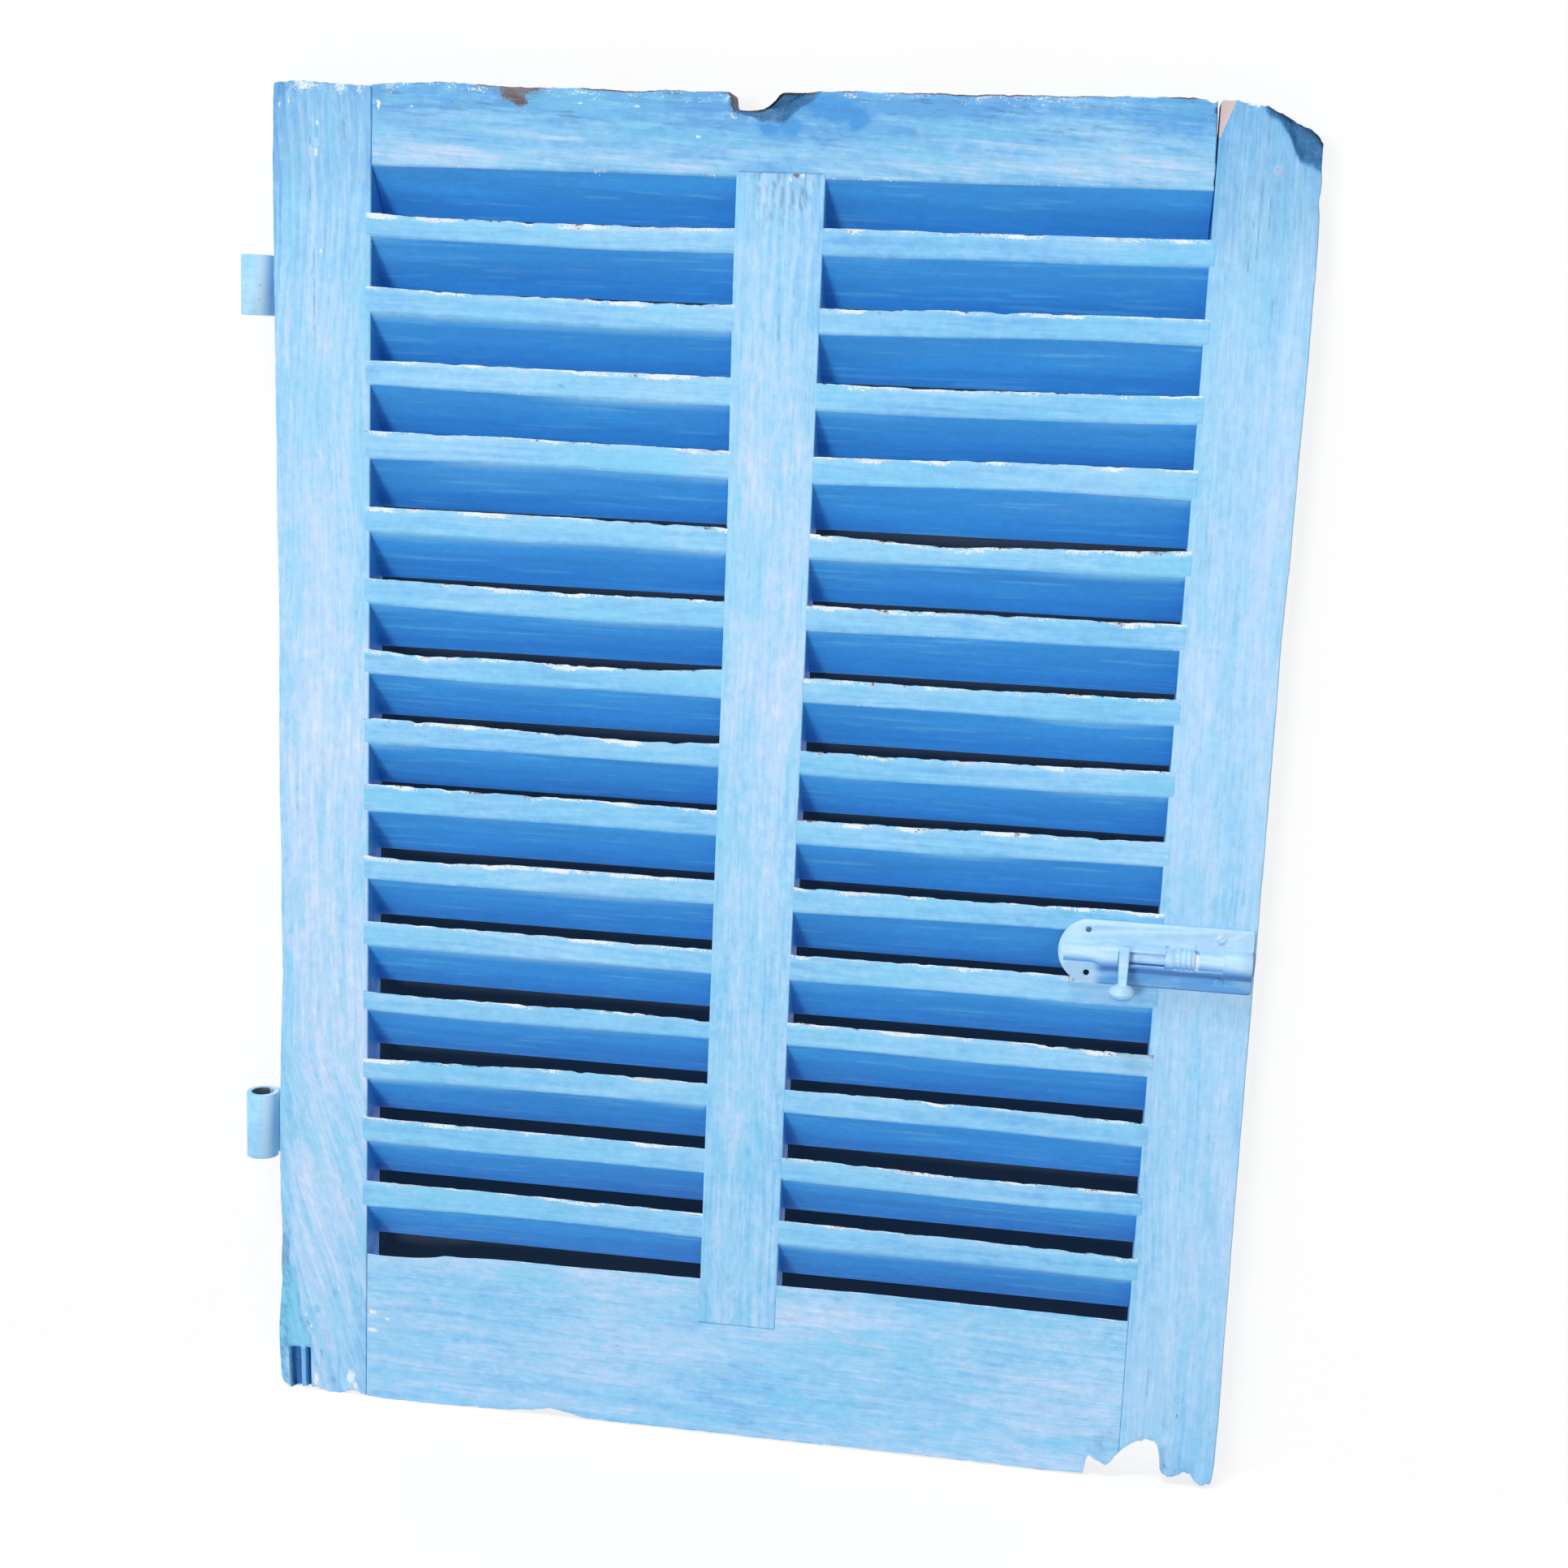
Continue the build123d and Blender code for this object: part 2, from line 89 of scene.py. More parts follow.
def softNoise(points, size, seed):
    # random values from -1 to 1 on cells of the given size, blended by 3t^2 - 2t^3
    q = np.asarray(points, float) / np.asarray(size, float)
    cell = np.floor(q).astype(np.int64)
    t = q - cell
    t = t * t * (3 - 2 * t)
    total = 0
    for corner in np.ndindex(2, 2, 2):
        weight = np.prod(np.where(corner, t, 1 - t), axis=1)
        total = total + weight * randomAt(*(cell + corner).T, seed)
    return total


def layeredNoise(points, size, seed):
    # three noises, each half as large and half as strong as the one before
    size = np.asarray(size, float)
    return sum(softNoise(points, size / 2**layer, seed + layer) / 2**layer for layer in range(3)) / 1.75


def smoothStep(low, high, value):
    t = np.clip((value - low) / (high - low), 0, 1)
    return t * t * (3 - 2 * t)


def between(value, riseFrom, riseTo, fallFrom, fallTo):
    # rises from 0 to 1 over the first two values and falls back over the last two
    return smoothStep(riseFrom, riseTo, value) * smoothStep(fallTo, fallFrom, value)


def bell(value, middle, wide):
    # exp(-((value - middle) / wide)^2)
    return np.exp(-(((value - middle) / wide) ** 2))


def along(places, value):
    # straight lines through pairs of place and height
    return np.interp(value, *zip(*places))


def throughPoints(values, share):
    # a curve through evenly spaced values: v1 + t(v2-v0)/2 + t^2(...) + t^3(...), Catmull-Rom
    v = np.asarray(values, float)
    v = np.concatenate([[2 * v[0] - v[1]], v, [2 * v[-1] - v[-2]]])
    spot = np.clip(share, 0, 1) * (len(values) - 1)
    i = np.minimum(np.floor(spot).astype(int), len(values) - 2)
    t = spot - i
    a, b, c, d = v[i], v[i + 1], v[i + 2], v[i + 3]
    return b + 0.5 * t * (c - a + t * (2 * a - 5 * b + 4 * c - d + t * (3 * (b - c) + d - a)))


# Outlines of the leaf as the photograph shows them: X across the leaf, Z from the top rail's lower edge
outline = {
    "top": [
        (0, 53.4), (4, 54.4), (10, 55), (20, 55.4), (40, 54.5), (60, 53.5), (70, 53.5), (85, 55.5), (120, 57),
        (145, 56), (160, 55), (180, 54.6), (200, 54.6), (220, 55.5), (245, 54.5), (260, 53.4), (280, 55),
        (315, 54.8), (322, 55), (326.4, 55), (327.6, 53.8), (328.1, 49.5), (328.8, 45.2), (330.2, 43.7),
        (338, 42.9), (346, 43.6), (350.5, 44.6), (354, 46.9), (358, 50.4), (360.4, 53.6), (362.6, 55.4),
        (367, 56), (410, 57), (500, 57.2), (590, 58), (640, 58.6), (650, 57.4), (656, 55), (660, 57.6),
        (670, 57.6), (680, 55.4), (690, 54.6), (700, 50), (705, 48.2), (710, 45), (715, 42.4), (720, 41),
        (725, 37.5), (729, 32.8), (733, 31),
    ],
    "bottom": [
        (-3, -936), (2, -938.2), (8, -941), (20, -939.4), (30, -939), (40, -941.5), (50, -941.4),
        (60, -937.5), (70, -941), (85, -942), (130, -942), (160, -941), (190, -939.6), (205, -938),
        (220, -934.6), (234, -937), (250, -940), (400, -940), (520, -939.6), (600, -940.2),
        (633.2, -939.6), (634.2, -936),
        (635.2, -926.4), (637, -924.8), (640, -926), (644, -928.6), (649, -931), (652.6, -929.4),
        (656, -923.4), (660, -918.4), (664, -914.4), (668, -911), (672, -908.4), (676, -907.2), (680, -906.4),
        (684, -906.8), (687, -909), (689, -918), (690.2, -931), (694, -934), (698, -934.8), (702, -934.2),
        (706, -931.4), (710, -928.8), (714, -931), (718, -937), (722, -940), (726, -938.6), (729, -937),
        (733, -935),
    ],
    "left": [
        (-942, 2.5), (-935, 0.5), (-915, -0.5), (-890, -0.8), (-870, 0.5), (-850, 1.8), (-836, 1.0),
        (-810, 1.8), (-770, 0.2), (-720, 0.2), (-650, 1.2), (-600, 3.0), (-550, 2.0), (-500, 2.0),
        (-450, 0.8), (-350, 1.2), (-300, 1.0), (-250, -0.2), (-200, -0.2), (-150, -1.2), (-60, -1.8),
        (0, -2.4), (20, -2.0), (45, -1.8), (52, -1.5), (60, -0.8),
    ],
    "right": [
        (-942, -2.0), (-935, -1.0), (-925, 0.0), (-880, 0.4), (-850, 0.0), (-700, -1.0), (-600, -1.2),
        (-500, -1.1), (-400, -1.2), (-320, -1.8), (-300, -2.0), (-250, -0.8), (-100, 0.0), (-50, 0.0),
        (-15, -0.6), (0, -2.0), (10, -1.4), (20, -0.9), (30, -1.8), (60, -2.0),
    ],
    "bottomRail": [
        (60, -8.0), (95, -8.0), (113, -7.2), (126, -5.4), (133, -3.6), (153, -3.2), (173, -1.8), (233, -1.6),
        (293, -0.6), (333, -0.4), (398, 0.2), (462, 1.2), (505, 1.1), (569, 0.8), (655, 0.2),
    ],
    "hollow": [
        (326, 44), (328, 42), (335, 40.2), (349, 35.8), (364, 34.7), (372, 41.2), (380, 47), (388, 53.5),
        (394, 58),
    ],
    "facet": [
        (682, 57), (686, 54), (691, 50), (697, 45.5), (702, 42), (706, 36), (711, 25), (716, 18.4), (723, 15),
        (729, 13), (733, 12),
    ],
}

# Lattices and boards


def evenStations(length, spacing, radius):
    # stations along an edge: close together over the rounded arris at both ends, even between
    near = radius * np.array([0, 0.3, 0.6, 1.0])
    count = max(2, int(round((length - 3 * radius) / spacing)) + 1)
    middle = np.linspace(1.5 * radius, length - 1.5 * radius, count)
    return np.concatenate([near, middle, length - near[::-1]])


def latticeShell(us, vs, ws):
    # the skin of a box lattice: every (u, v, w) with at least one of them at its end
    onSkin = np.ones((len(us), len(vs), len(ws)), bool)
    onSkin[1:-1, 1:-1, 1:-1] = False
    ids = np.full(onSkin.shape, -1)
    ids[onSkin] = np.arange(onSkin.sum())
    grid = np.stack(np.meshgrid(us, vs, ws, indexing="ij"), -1)
    quads = []
    for last, first in ((ids[-1], ids[0]), (ids[:, -1].T, ids[:, 0].T), (ids[:, :, -1], ids[:, :, 0])):
        for sheet, turn in ((last, 1), (first, -1)):
            corners = [sheet[:-1, :-1], sheet[1:, :-1], sheet[1:, 1:], sheet[:-1, 1:]]
            quads.append(np.stack([corner.ravel() for corner in corners], -1)[:, ::turn])
    return grid[onSkin], np.concatenate(quads)


def roundBox(points, low, high, radius):
    # points past the inner box are pulled back to the radius from it, which rounds each arris
    inner = np.clip(points, low + radius, high - radius)
    away = points - inner
    size = np.linalg.norm(away, axis=1, keepdims=True)
    rounded = inner + away / np.maximum(size, 1e-9) * np.minimum(size, radius)
    return np.where(size > 1e-9, rounded, points)


def addObject(name, mesh, material, body="leaf", replaced=None):
    mesh.polygons.foreach_set("use_smooth", np.ones(len(mesh.polygons), bool))
    mesh.materials.clear()
    mesh.materials.append(material)
    piece = bpy.data.objects.new(name, mesh)
    bpy.context.scene.collection.objects.link(piece)
    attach(piece, body)
    if replaced:
        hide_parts(replaced)
    return piece


def writeMarks(mesh, marks):
    for key, values in marks.items():
        lowest = -1 if key == "pale" else 0
        layer = mesh.attributes.new(key, "FLOAT", "POINT")
        layer.data.foreach_set("value", np.clip(values, lowest, 1).astype(np.float32))


class Board:
    # a rounded box of points on a lattice, with the marks that its paint reads
    def __init__(self, low, high, piece, extra=()):
        stations = [evenStations(*pair, piece["radius"]) for pair in zip(high - low, piece["spacing"])]
        stations[0] = np.unique(np.concatenate([stations[0], extra]))
        points, self.quads = latticeShell(*stations)
        self.low, self.high, self.piece = low, high, piece
        self.points = roundBox(points + low, low, high, piece["radius"])
        self.rest = self.points.copy()
        self.place = self.rest
        self.across = self.rest[:, 0] - leafLeft
        self.depth = self.rest[:, 1] - roomFace
        self.level = self.rest[:, 2] - topRailLower
        self.front = smoothStep(0.9, 1.0, 1 - self.depth / thickness)
        self.marks = {key: np.zeros(len(points)) for key in markNames}

    def noise(self, size, seed, only=1):
        return softNoise(self.place * only, size, seed)

    def layers(self, size, seed, only=1):
        return layeredNoise(self.place * only, size, seed)

    def patchy(self, base, swing, size, seed, only=1):
        return base + swing * softNoise(self.place * only, size, seed)

    def spots(self, spots):
        # soft round spots: the largest of exp(-(dx/wide)^2 - (dz/tall)^2)
        each = [bell(self.across, x, wide) * bell(self.level, z, tall) for x, z, wide, tall in spots]
        return np.max(each, axis=0)

    def strokes(self, strokes):
        # soft lines: the largest of exp(-(d/width)^2), d being the distance to the line's segment,
        # which wanders and breaks up
        spot = np.stack([self.across, np.zeros(len(self.across)), self.level], -1)
        across = self.across + 0.7 * layeredNoise(spot, (60, 9, 9), 81)
        broken = 0.35 + 0.65 * smoothStep(-0.35, 0.25, softNoise(spot, (3, 9, 5), 82))
        total = np.zeros(len(across))
        for x0, z0, x1, z1, width in strokes:
            length = math.hypot(x1 - x0, z1 - z0)
            dx, dz = (x1 - x0) / length, (z1 - z0) / length
            share = np.clip((across - x0) * dx + (self.level - z0) * dz, 0, length)
            distance = np.hypot(across - x0 - share * dx, self.level - z0 - share * dz)
            total = np.maximum(total, bell(distance, 0, width))
        return total * broken

    def wear(self, key, values):
        self.marks[key] = np.maximum(self.marks[key], values)

    def bleach(self):
        # how far a surface was bleached: front, outside and upward faces most, undersides least; on
        # undersides and inner reveals the low value is also a painted shade
        corners = self.points[self.quads]
        normal = np.cross(corners[:, 2] - corners[:, 0], corners[:, 3] - corners[:, 1])
        total = np.zeros_like(self.points)
        for corner in range(4):
            np.add.at(total, self.quads[:, corner], normal)
        total /= np.maximum(np.linalg.norm(total, axis=1, keepdims=True), 1e-9)
        x, y, z = total.T
        left, right = self.points[:, 0] - leafLeft, self.points[:, 0] - leafRight
        outer = (np.abs(left) < 6) | (np.abs(right) < 6)
        faces = [
            smoothStep(0.78, 0.95, -y),
            smoothStep(0.78, 0.95, y) * 0.9,
            smoothStep(0.35, 0.75, z) * 0.75,
            smoothStep(0.75, 0.95, 0.77 * y + 0.64 * z) * 0.85,
            smoothStep(0.6, 0.9, np.abs(x)) * outer * 0.7,
            smoothStep(0.8, 0.95, -z) * 0.45,
            smoothStep(1.3, 0.5, self.points[:, 1] - roomFace) * 0.9,
        ]
        self.marks["sun"] = np.max(faces, axis=0)

    def followEnds(self):
        # the last stretch of an upright is stretched so that its end follows the outline
        reach, z = self.piece["reach"], self.rest[:, 2]
        splinter = 1.1 * self.layers((2.6, 30, 10), 71, (1, 0.15, 0))
        top = topRailLower + along(outline["top"], self.across) + 0.7 * splinter - self.high[2]
        torn = splinter + 1.1 * self.noise((1.9, 9, 10), 72, (1, 0.3, 0)) * smoothStep(640, 690, self.across)
        bottom = topRailLower + along(outline["bottom"], self.across) + torn - self.low[2]
        fromTop = np.clip((z - (self.high[2] - reach)) / reach, 0, 1)
        fromBottom = np.clip((self.low[2] + reach - z) / reach, 0, 1)
        self.points[:, 2] += top * fromTop + bottom * fromBottom
        return fromTop, fromBottom

    def followEdges(self, lower, upper, face):
        # a rail's height is shared out between its lower and its upper outline
        self.points[:, 2] = lower + np.clip(self.rest[:, 2] / face, 0, 1) * (upper - lower)
        self.level = self.points[:, 2] - topRailLower

    def sinkUnderMullion(self, zLow, zHigh):
        # inside the square notch for the mullion both faces sink, so the mullion covers them
        x, y, z = self.points.T
        inside = smoothStep(0.2, 0.7, x - mullionLow[0]) * smoothStep(0.2, 0.7, mullionHigh[0] - x)
        inside = inside * smoothStep(-0.6, 0.6, z - zLow) * smoothStep(-0.6, 0.6, zHigh - z)
        self.points[:, 1] += (0.5 * (roomFace + outsideFace) - y) * 0.12 * inside

    def add(self, name, wood, slotName="painted_frame_wood"):
        mesh = bpy.data.meshes.new(f"{name}_wood")
        mesh.vertices.add(len(self.points))
        mesh.vertices.foreach_set("co", (self.points * milli).astype(np.float32).ravel())
        mesh.loops.add(self.quads.size)
        mesh.loops.foreach_set("vertex_index", self.quads.astype(np.int32).ravel())
        mesh.polygons.add(len(self.quads))
        mesh.polygons.foreach_set("loop_start", np.arange(0, self.quads.size, 4, dtype=np.int32))
        mesh.update(calc_edges=True)
        mesh.validate()
        writeMarks(mesh, self.marks)
        return addObject(f"{name}_wood", mesh, woods[wood], replaced=name)


# Shader helpers


def newNode(tree, kind, inputs=None, **settings):
    node = tree.nodes.new(kind)
    for key, value in settings.items():
        setattr(node, key, value)
    for key, value in (inputs or {}).items():
        if isinstance(value, Wire):
            tree.links.new(value.socket, node.inputs[key])
        else:
            node.inputs[key].default_value = value
    return node


def wire(tree, kind, inputs=None, output=0, **settings):
    return Wire(tree, newNode(tree, kind, inputs, **settings).outputs[output])


class Wire:
    # a node's output: sums, products and blends of wires make the nodes that work them out
    def __init__(self, tree, socket):
        self.tree, self.socket = tree, socket

    def calc(self, operation, *others):
        return wire(self.tree, "ShaderNodeMath", dict(enumerate((self, *others))), operation=operation)

    def __add__(self, other):
        return self.calc("ADD", other)

    def __sub__(self, other):
        return self.calc("SUBTRACT", other)

    def __rsub__(self, number):
        return wire(self.tree, "ShaderNodeMath", {0: number, 1: self}, operation="SUBTRACT")

    def __mul__(self, other):
        return self.calc("MULTIPLY", other)

    def around(self, share):
        # how far the value stands off a half, times the share
        return (self - 0.5) * share

    def spread(self, low, high, toLow=0.0, toHigh=1.0):
        # the value from low..high to toLow..toHigh, eased at both ends
        inputs = {"Value": self, "From Min": low, "From Max": high, "To Min": toLow, "To Max": toHigh}
        return wire(self.tree, "ShaderNodeMapRange", inputs, "Result", interpolation_type="SMOOTHSTEP")

    def spreadMm(self, low, high, toLow=0.0, toHigh=1.0):
        return self.spread(low * milli, high * milli, toLow, toHigh)

    def bandMm(self, low, high, soft):
        # 1 between low and high, falling to 0 over the soft width at both ends
        return self.spreadMm(low - soft, low + soft) * self.spreadMm(high - soft, high + soft, 1.0, 0.0)

    def blend(self, first, second):
        # the first colour where the value is 0, the second where it is 1
        return wire(self.tree, "ShaderNodeMix", {0: self, 6: first, 7: second}, 2, data_type="RGBA")

    def ramp(self, stops):
        node = newNode(self.tree, "ShaderNodeValToRGB", {"Fac": self})
        elements = node.color_ramp.elements
        while len(elements) < len(stops):
            elements.new(0.5)
        for element, (place, colour) in zip(elements, stops):
            element.position = place
            element.color = colour
        return Wire(self.tree, node.outputs[0])

    def noise(self, scale, detail=3.0, roughness=0.55, distortion=0.0):
        inputs = {"Vector": self, "Scale": scale, "Detail": detail}
        inputs.update({"Roughness": roughness, "Distortion": distortion})
        return wire(self.tree, "ShaderNodeTexNoise", inputs)

    def mapped(self, **inputs):
        return wire(self.tree, "ShaderNodeMapping", {"Vector": self, **inputs})

    def split(self):
        parts = newNode(self.tree, "ShaderNodeSeparateXYZ", {"Vector": self}).outputs
        return [Wire(self.tree, part) for part in parts]


def newMaterial(name):
    material = bpy.data.materials.new(name)
    material.use_nodes = True
    material.node_tree.nodes.clear()
    return material, material.node_tree


def closeWith(tree, shader, kind="ShaderNodeOutputMaterial"):
    newNode(tree, kind, {0: shader})


def coatWith(tree, colour, roughness, height, relief, bumpiness, gloss):
    bump = wire(tree, "ShaderNodeBump", {"Strength": bumpiness, "Distance": relief, "Height": height})
    inputs = {"Base Color": colour, "Roughness": roughness, "Normal": bump, "Specular IOR Level": gloss}
    closeWith(tree, wire(tree, "ShaderNodeBsdfPrincipled", inputs))


def rgb(red, green, blue):
    return (red, green, blue, 1.0)


# Weathered paint on wood

floatKind, vectorKind, colourKind = "NodeSocketFloat", "NodeSocketVector", "NodeSocketColor"
paint = {
    "deep": rgb(0.050, 0.340, 0.800),
    "deepDark": rgb(0.042, 0.270, 0.680),
    "aqua": rgb(0.215, 0.630, 0.890),
    "bareWood": rgb(0.130, 0.095, 0.110),
    "greyWood": rgb(0.210, 0.200, 0.230),
    "fresh": rgb(0.620, 0.500, 0.500),
    "chalk": rgb(0.800, 0.880, 0.950),
    "grimeAndShade": rgb(0.012, 0.030, 0.060),
    "crackAndShadeTone": rgb(0.060, 0.190, 0.400),
    "worth": 0.965,
}
bleachedTones = [
    (0.00, rgb(0.130, 0.400, 0.800)),
    (0.25, rgb(0.240, 0.555, 0.890)),
    (0.50, rgb(0.370, 0.665, 0.935)),
    (0.75, rgb(0.530, 0.715, 0.960)),
    (1.00, rgb(0.700, 0.800, 0.975)),
]
placeNames = ("place", "broad", "grain", "across", "contrast")
markNames = ("sun", "pale", "aqua", "crackAndShade", "chalk", "bare", "fresh", "grimeAndShade")


def paintedWoodGroup():
    group = bpy.data.node_groups.new("weatheredPaint", "ShaderNodeTree")
    for name in placeNames + markNames:
        kind = vectorKind if name in placeNames[:3] else floatKind
        group.interface.new_socket(name.capitalize(), in_out="INPUT", socket_type=kind)
    for label, kind in (("Colour", colourKind), ("Roughness", floatKind), ("Height", floatKind)):
        group.interface.new_socket(label, in_out="OUTPUT", socket_type=kind)
    inside = group.nodes.new("NodeGroupInput").outputs
    given = [Wire(group, inside[name.capitalize()]) for name in placeNames + markNames]
    place, broad, grain, across, contrast, sun, pale, aqua, crackAndShade, chalk, bare, fresh, grimeAndShade = given

    patches = broad.noise(17.0, 3.0, 0.55, 0.5)
    wide = place.noise(7.0, 2.0)
    halfway = wire(group, "ShaderNodeMix", {0: 0.5, 4: place, 5: broad}, 1, data_type="VECTOR")
    mottle = halfway.noise(150.0, 3.0, 0.6, 0.3)
    streaks = grain.noise(85.0, 3.0, 0.55, 0.3)
    fibres = grain.noise(520.0, 3.0, 0.6)
    speck = place.noise(640.0, 2.0, 0.6)

    # growth rings: a sine across the board, bent by slow noise and kept only in some places
    ring = (across * 560.0 + broad.noise(9.0, 2.0, 0.35).around(95.0)).calc("SINE")
    ring = ring.spread(0.0, 1.0) * broad.noise(16.0, 1.0).spread(0.38, 0.56)
    ring = ring * fibres.spread(0.30, 0.62, 0.35, 1.0)

    bleach = patches.around(1.15) + wide.around(0.5) + mottle.around(0.95) + streaks.around(0.60)
    bleach = (bleach + fibres.around(0.75) - ring * 0.24) * contrast + (pale + 0.5)
    aquaHere = broad.noise(62.0, 4.0, 0.65, 0.6).spread(0.46, 0.66, 0.0, 0.70)
    sunny = (aqua + aquaHere * contrast).blend(bleach.ramp(bleachedTones), paint["aqua"])

    # the deep colour is unbleached paint, and on undersides and inner reveals it is also a painted shade
    shady = streaks.spread(0.30, 0.75).blend(paint["deep"], paint["deepDark"])
    shady = mottle.spread(0.35, 0.75, 0.0, 0.35).blend(shady, paint["deepDark"])
    shady = grain.noise(210.0, 2.0, 0.6).spread(0.56, 0.72, 0.0, 0.28).blend(shady, paint["aqua"])
    worth = halfway.noise(260.0, 4.0, 0.7).around(0.30) + fibres.around(0.16) + paint["worth"]
    colour = {0: sun.blend(shady, sunny), "Scale": worth}
    colour = wire(group, "ShaderNodeVectorMath", colour, operation="SCALE")

    # hairlines run along the grain in short lengths; the marked cracks, and the painted shade laid with the
    # crack tone, break up where they cross fibres
    hair = (grain.noise(140.0, 2.0, 0.5) - 0.5).calc("ABSOLUTE").spread(0.0, 0.012, 1.0, 0.0)
    hair = hair * broad.noise(36.0, 1.0).spread(0.58, 0.70) * sun * 0.24
    crackedAndShaded = crackAndShade * grain.noise(900.0, 2.0, 0.6).spread(0.30, 0.60, 0.15, 0.72)
    lines = hair.calc("MAXIMUM", crackedAndShaded)
    colour = lines.blend(colour, paint["crackAndShadeTone"])

    rough = (speck * 0.6 + mottle * 0.4).around(2.6)
    chalked = (chalk + rough).spread(0.35, 0.70)
    colour = (chalked * chalk.spread(0.02, 0.25)).blend(colour, paint["chalk"])
    bareTone = fibres.spread(0.35, 0.65).blend(paint["bareWood"], paint["greyWood"])
    bared = (bare + rough * 0.8).spread(0.30, 0.62) * bare.spread(0.02, 0.2)
    colour = bared.blend(colour, bareTone)
    colour = (fresh + rough * 0.3).spread(0.3, 0.7).blend(colour, paint["fresh"])
    grimedAndShaded = (grimeAndShade + rough * 0.35).spread(0.0, 1.0) * grimeAndShade.spread(0.02, 0.2)
    colour = grimedAndShaded.blend(colour, paint["grimeAndShade"])

    height = fibres * 0.45 + streaks * 0.5 + mottle * 0.25 - (lines + ring * 0.25) * 0.5
    height = height - (chalked + bared) * 0.12
    roughness = mottle.spread(0.3, 0.7, 0.48, 0.62) + (chalked + bared) * 0.12
    newNode(group, "NodeGroupOutput", {"Colour": colour, "Roughness": roughness, "Height": height})
    return group


def woodMaterial(name, group, look):
    # the grain runs along one axis, turned by a small angle; shift gives each board its own figure
    material, tree = newMaterial(name)
    upright = look["along"] == "z"

    def markOf(key):
        return wire(tree, "ShaderNodeAttribute", None, "Fac", attribute_name=key)

    def stretched(share):
        return turned.mapped(Scale=(1, 1, share) if upright else (share, 1, 1))

    place = wire(tree, "ShaderNodeTexCoord", None, "Object")
    if upright:
        bend = wire(tree, "ShaderNodeCombineXYZ", {"X": markOf("bend")})
        place = wire(tree, "ShaderNodeVectorMath", {0: place, 1: bend}, operation="SUBTRACT")
    shift = look["shift"]
    turned = place.mapped(Rotation=(0, look.get("turn", 0.0), 0), Location=(shift, 0, shift))
    x, y, z = turned.split()
    across = (x if upright else z) + y * 0.6
    inputs = {"Place": place, "Broad": stretched(0.22), "Grain": stretched(0.055), "Across": across}
    inputs.update({key.capitalize(): markOf(key) for key in markNames})
    wood = newNode(tree, "ShaderNodeGroup", node_tree=group)
    for label, value in inputs.items():
        tree.links.new(value.socket, wood.inputs[label])
    wood.inputs["Contrast"].default_value = look["contrast"]
    colour, roughness, height = (Wire(tree, wood.outputs[key]) for key in ("Colour", "Roughness", "Height"))
    coatWith(tree, colour, roughness, height, look["relief"], 0.45, 0.25)
    return material


woodLooks = {
    "hingeStileWood": {"along": "z", "contrast": 0.72, "shift": 0.0, "relief": 0.0005},
    "lockStileWood": {"along": "z", "contrast": 0.50, "shift": 1.7, "relief": 0.0004},
    "mullionWood": {"along": "z", "contrast": 0.75, "shift": 3.1, "relief": 0.0004},
    "topRailWood": {"along": "x", "contrast": 0.80, "shift": 4.4, "relief": 0.0005, "turn": -0.06},
    "bottomRailWood": {"along": "x", "contrast": 0.70, "shift": 6.2, "relief": 0.0004, "turn": -0.02},
    "slatWood": {"along": "x", "contrast": 0.55, "shift": 8.0, "relief": 0.0003},
}
weathered = paintedWoodGroup()
woods = {name: woodMaterial(name, weathered, look) for name, look in woodLooks.items()}
print("stage: wood materials made")

# Stiles and mullion. Spans give where a mark rises and where it falls again, across or by level

hingeStile = {
    "spacing": (1.3, 4.4, 3.0), "radius": 1.3, "reach": 60,
    "slots": [(8.0, 17.5), (21.6, 25.4)], "slotTop": (-906.8, -908.2), "slotDepth": 7.5,
    "post": (16.5, 18, 21, 22.5), "lines": [26.4, 30.6, 44.2, 51.0],
    "patchEdge": [(-908, 26.5), (-893, 24.5), (-879, 16.0), (-856, 13.8), (-838, 11.0)],
    "patchSpan": (-909.5, -907.5, -838.5, -836.0), "patchTop": [(0.5, -838.4, 9, -838.4, 0.8)],
    "wedge": [(0.6, 1.4, 6, 8), (-838, -836, -820, -806)],
    "paleAt": [
        (-942, -0.02), (-850, 0.05), (-700, 0.10), (-450, 0.18), (-250, 0.08), (-120, 0.02), (-60, -0.08),
        (20, -0.12), (60, -0.22),
    ],
    "cracks": [
        (26.4, 56, 26.5, -26, 0.5), (51, 50, 51, 16, 0.4), (44, 56, 44.5, 38, 0.4), (36, -20, 37, -66, 0.4),
        (29, -60, 29.6, -140, 0.4), (58, -770, 58, -806, 0.4), (49, -906, 49, -936, 0.5),
        (34, -908, 34, -930, 0.4), (66, -850, 66, -880, 0.4), (62, -300, 62, -345, 0.35),
        (14, -420, 15, -470, 0.35),
    ],
    "chips": [
        (31.5, 28.7, 1.2, 2.2), (30.6, 10, 1.6, 5.5), (54.6, 10.5, 1.2, 1.2), (5, 42, 1.0, 3),
        (11, 44, 0.9, 3), (30, -931, 1.8, 3.2), (58, -928, 3.4, 6.0), (62, -936, 2.5, 3),
        (26, -888, 1.4, 1.2), (21, -878, 1.0, 1.5), (48, -853, 1.0, 2.2), (34, -62, 1.2, 2.5),
        (29, -936, 1.4, 2),
    ],
    "dents": [
        (23.3, -884.9, 1.7, 2.4), (27, -890, 1.3, 1.6), (18, -882, 1.2, 1.4), (43.4, -930, 3.5, 3.0),
        (45, -858, 1.2, 2.4),
    ],
}
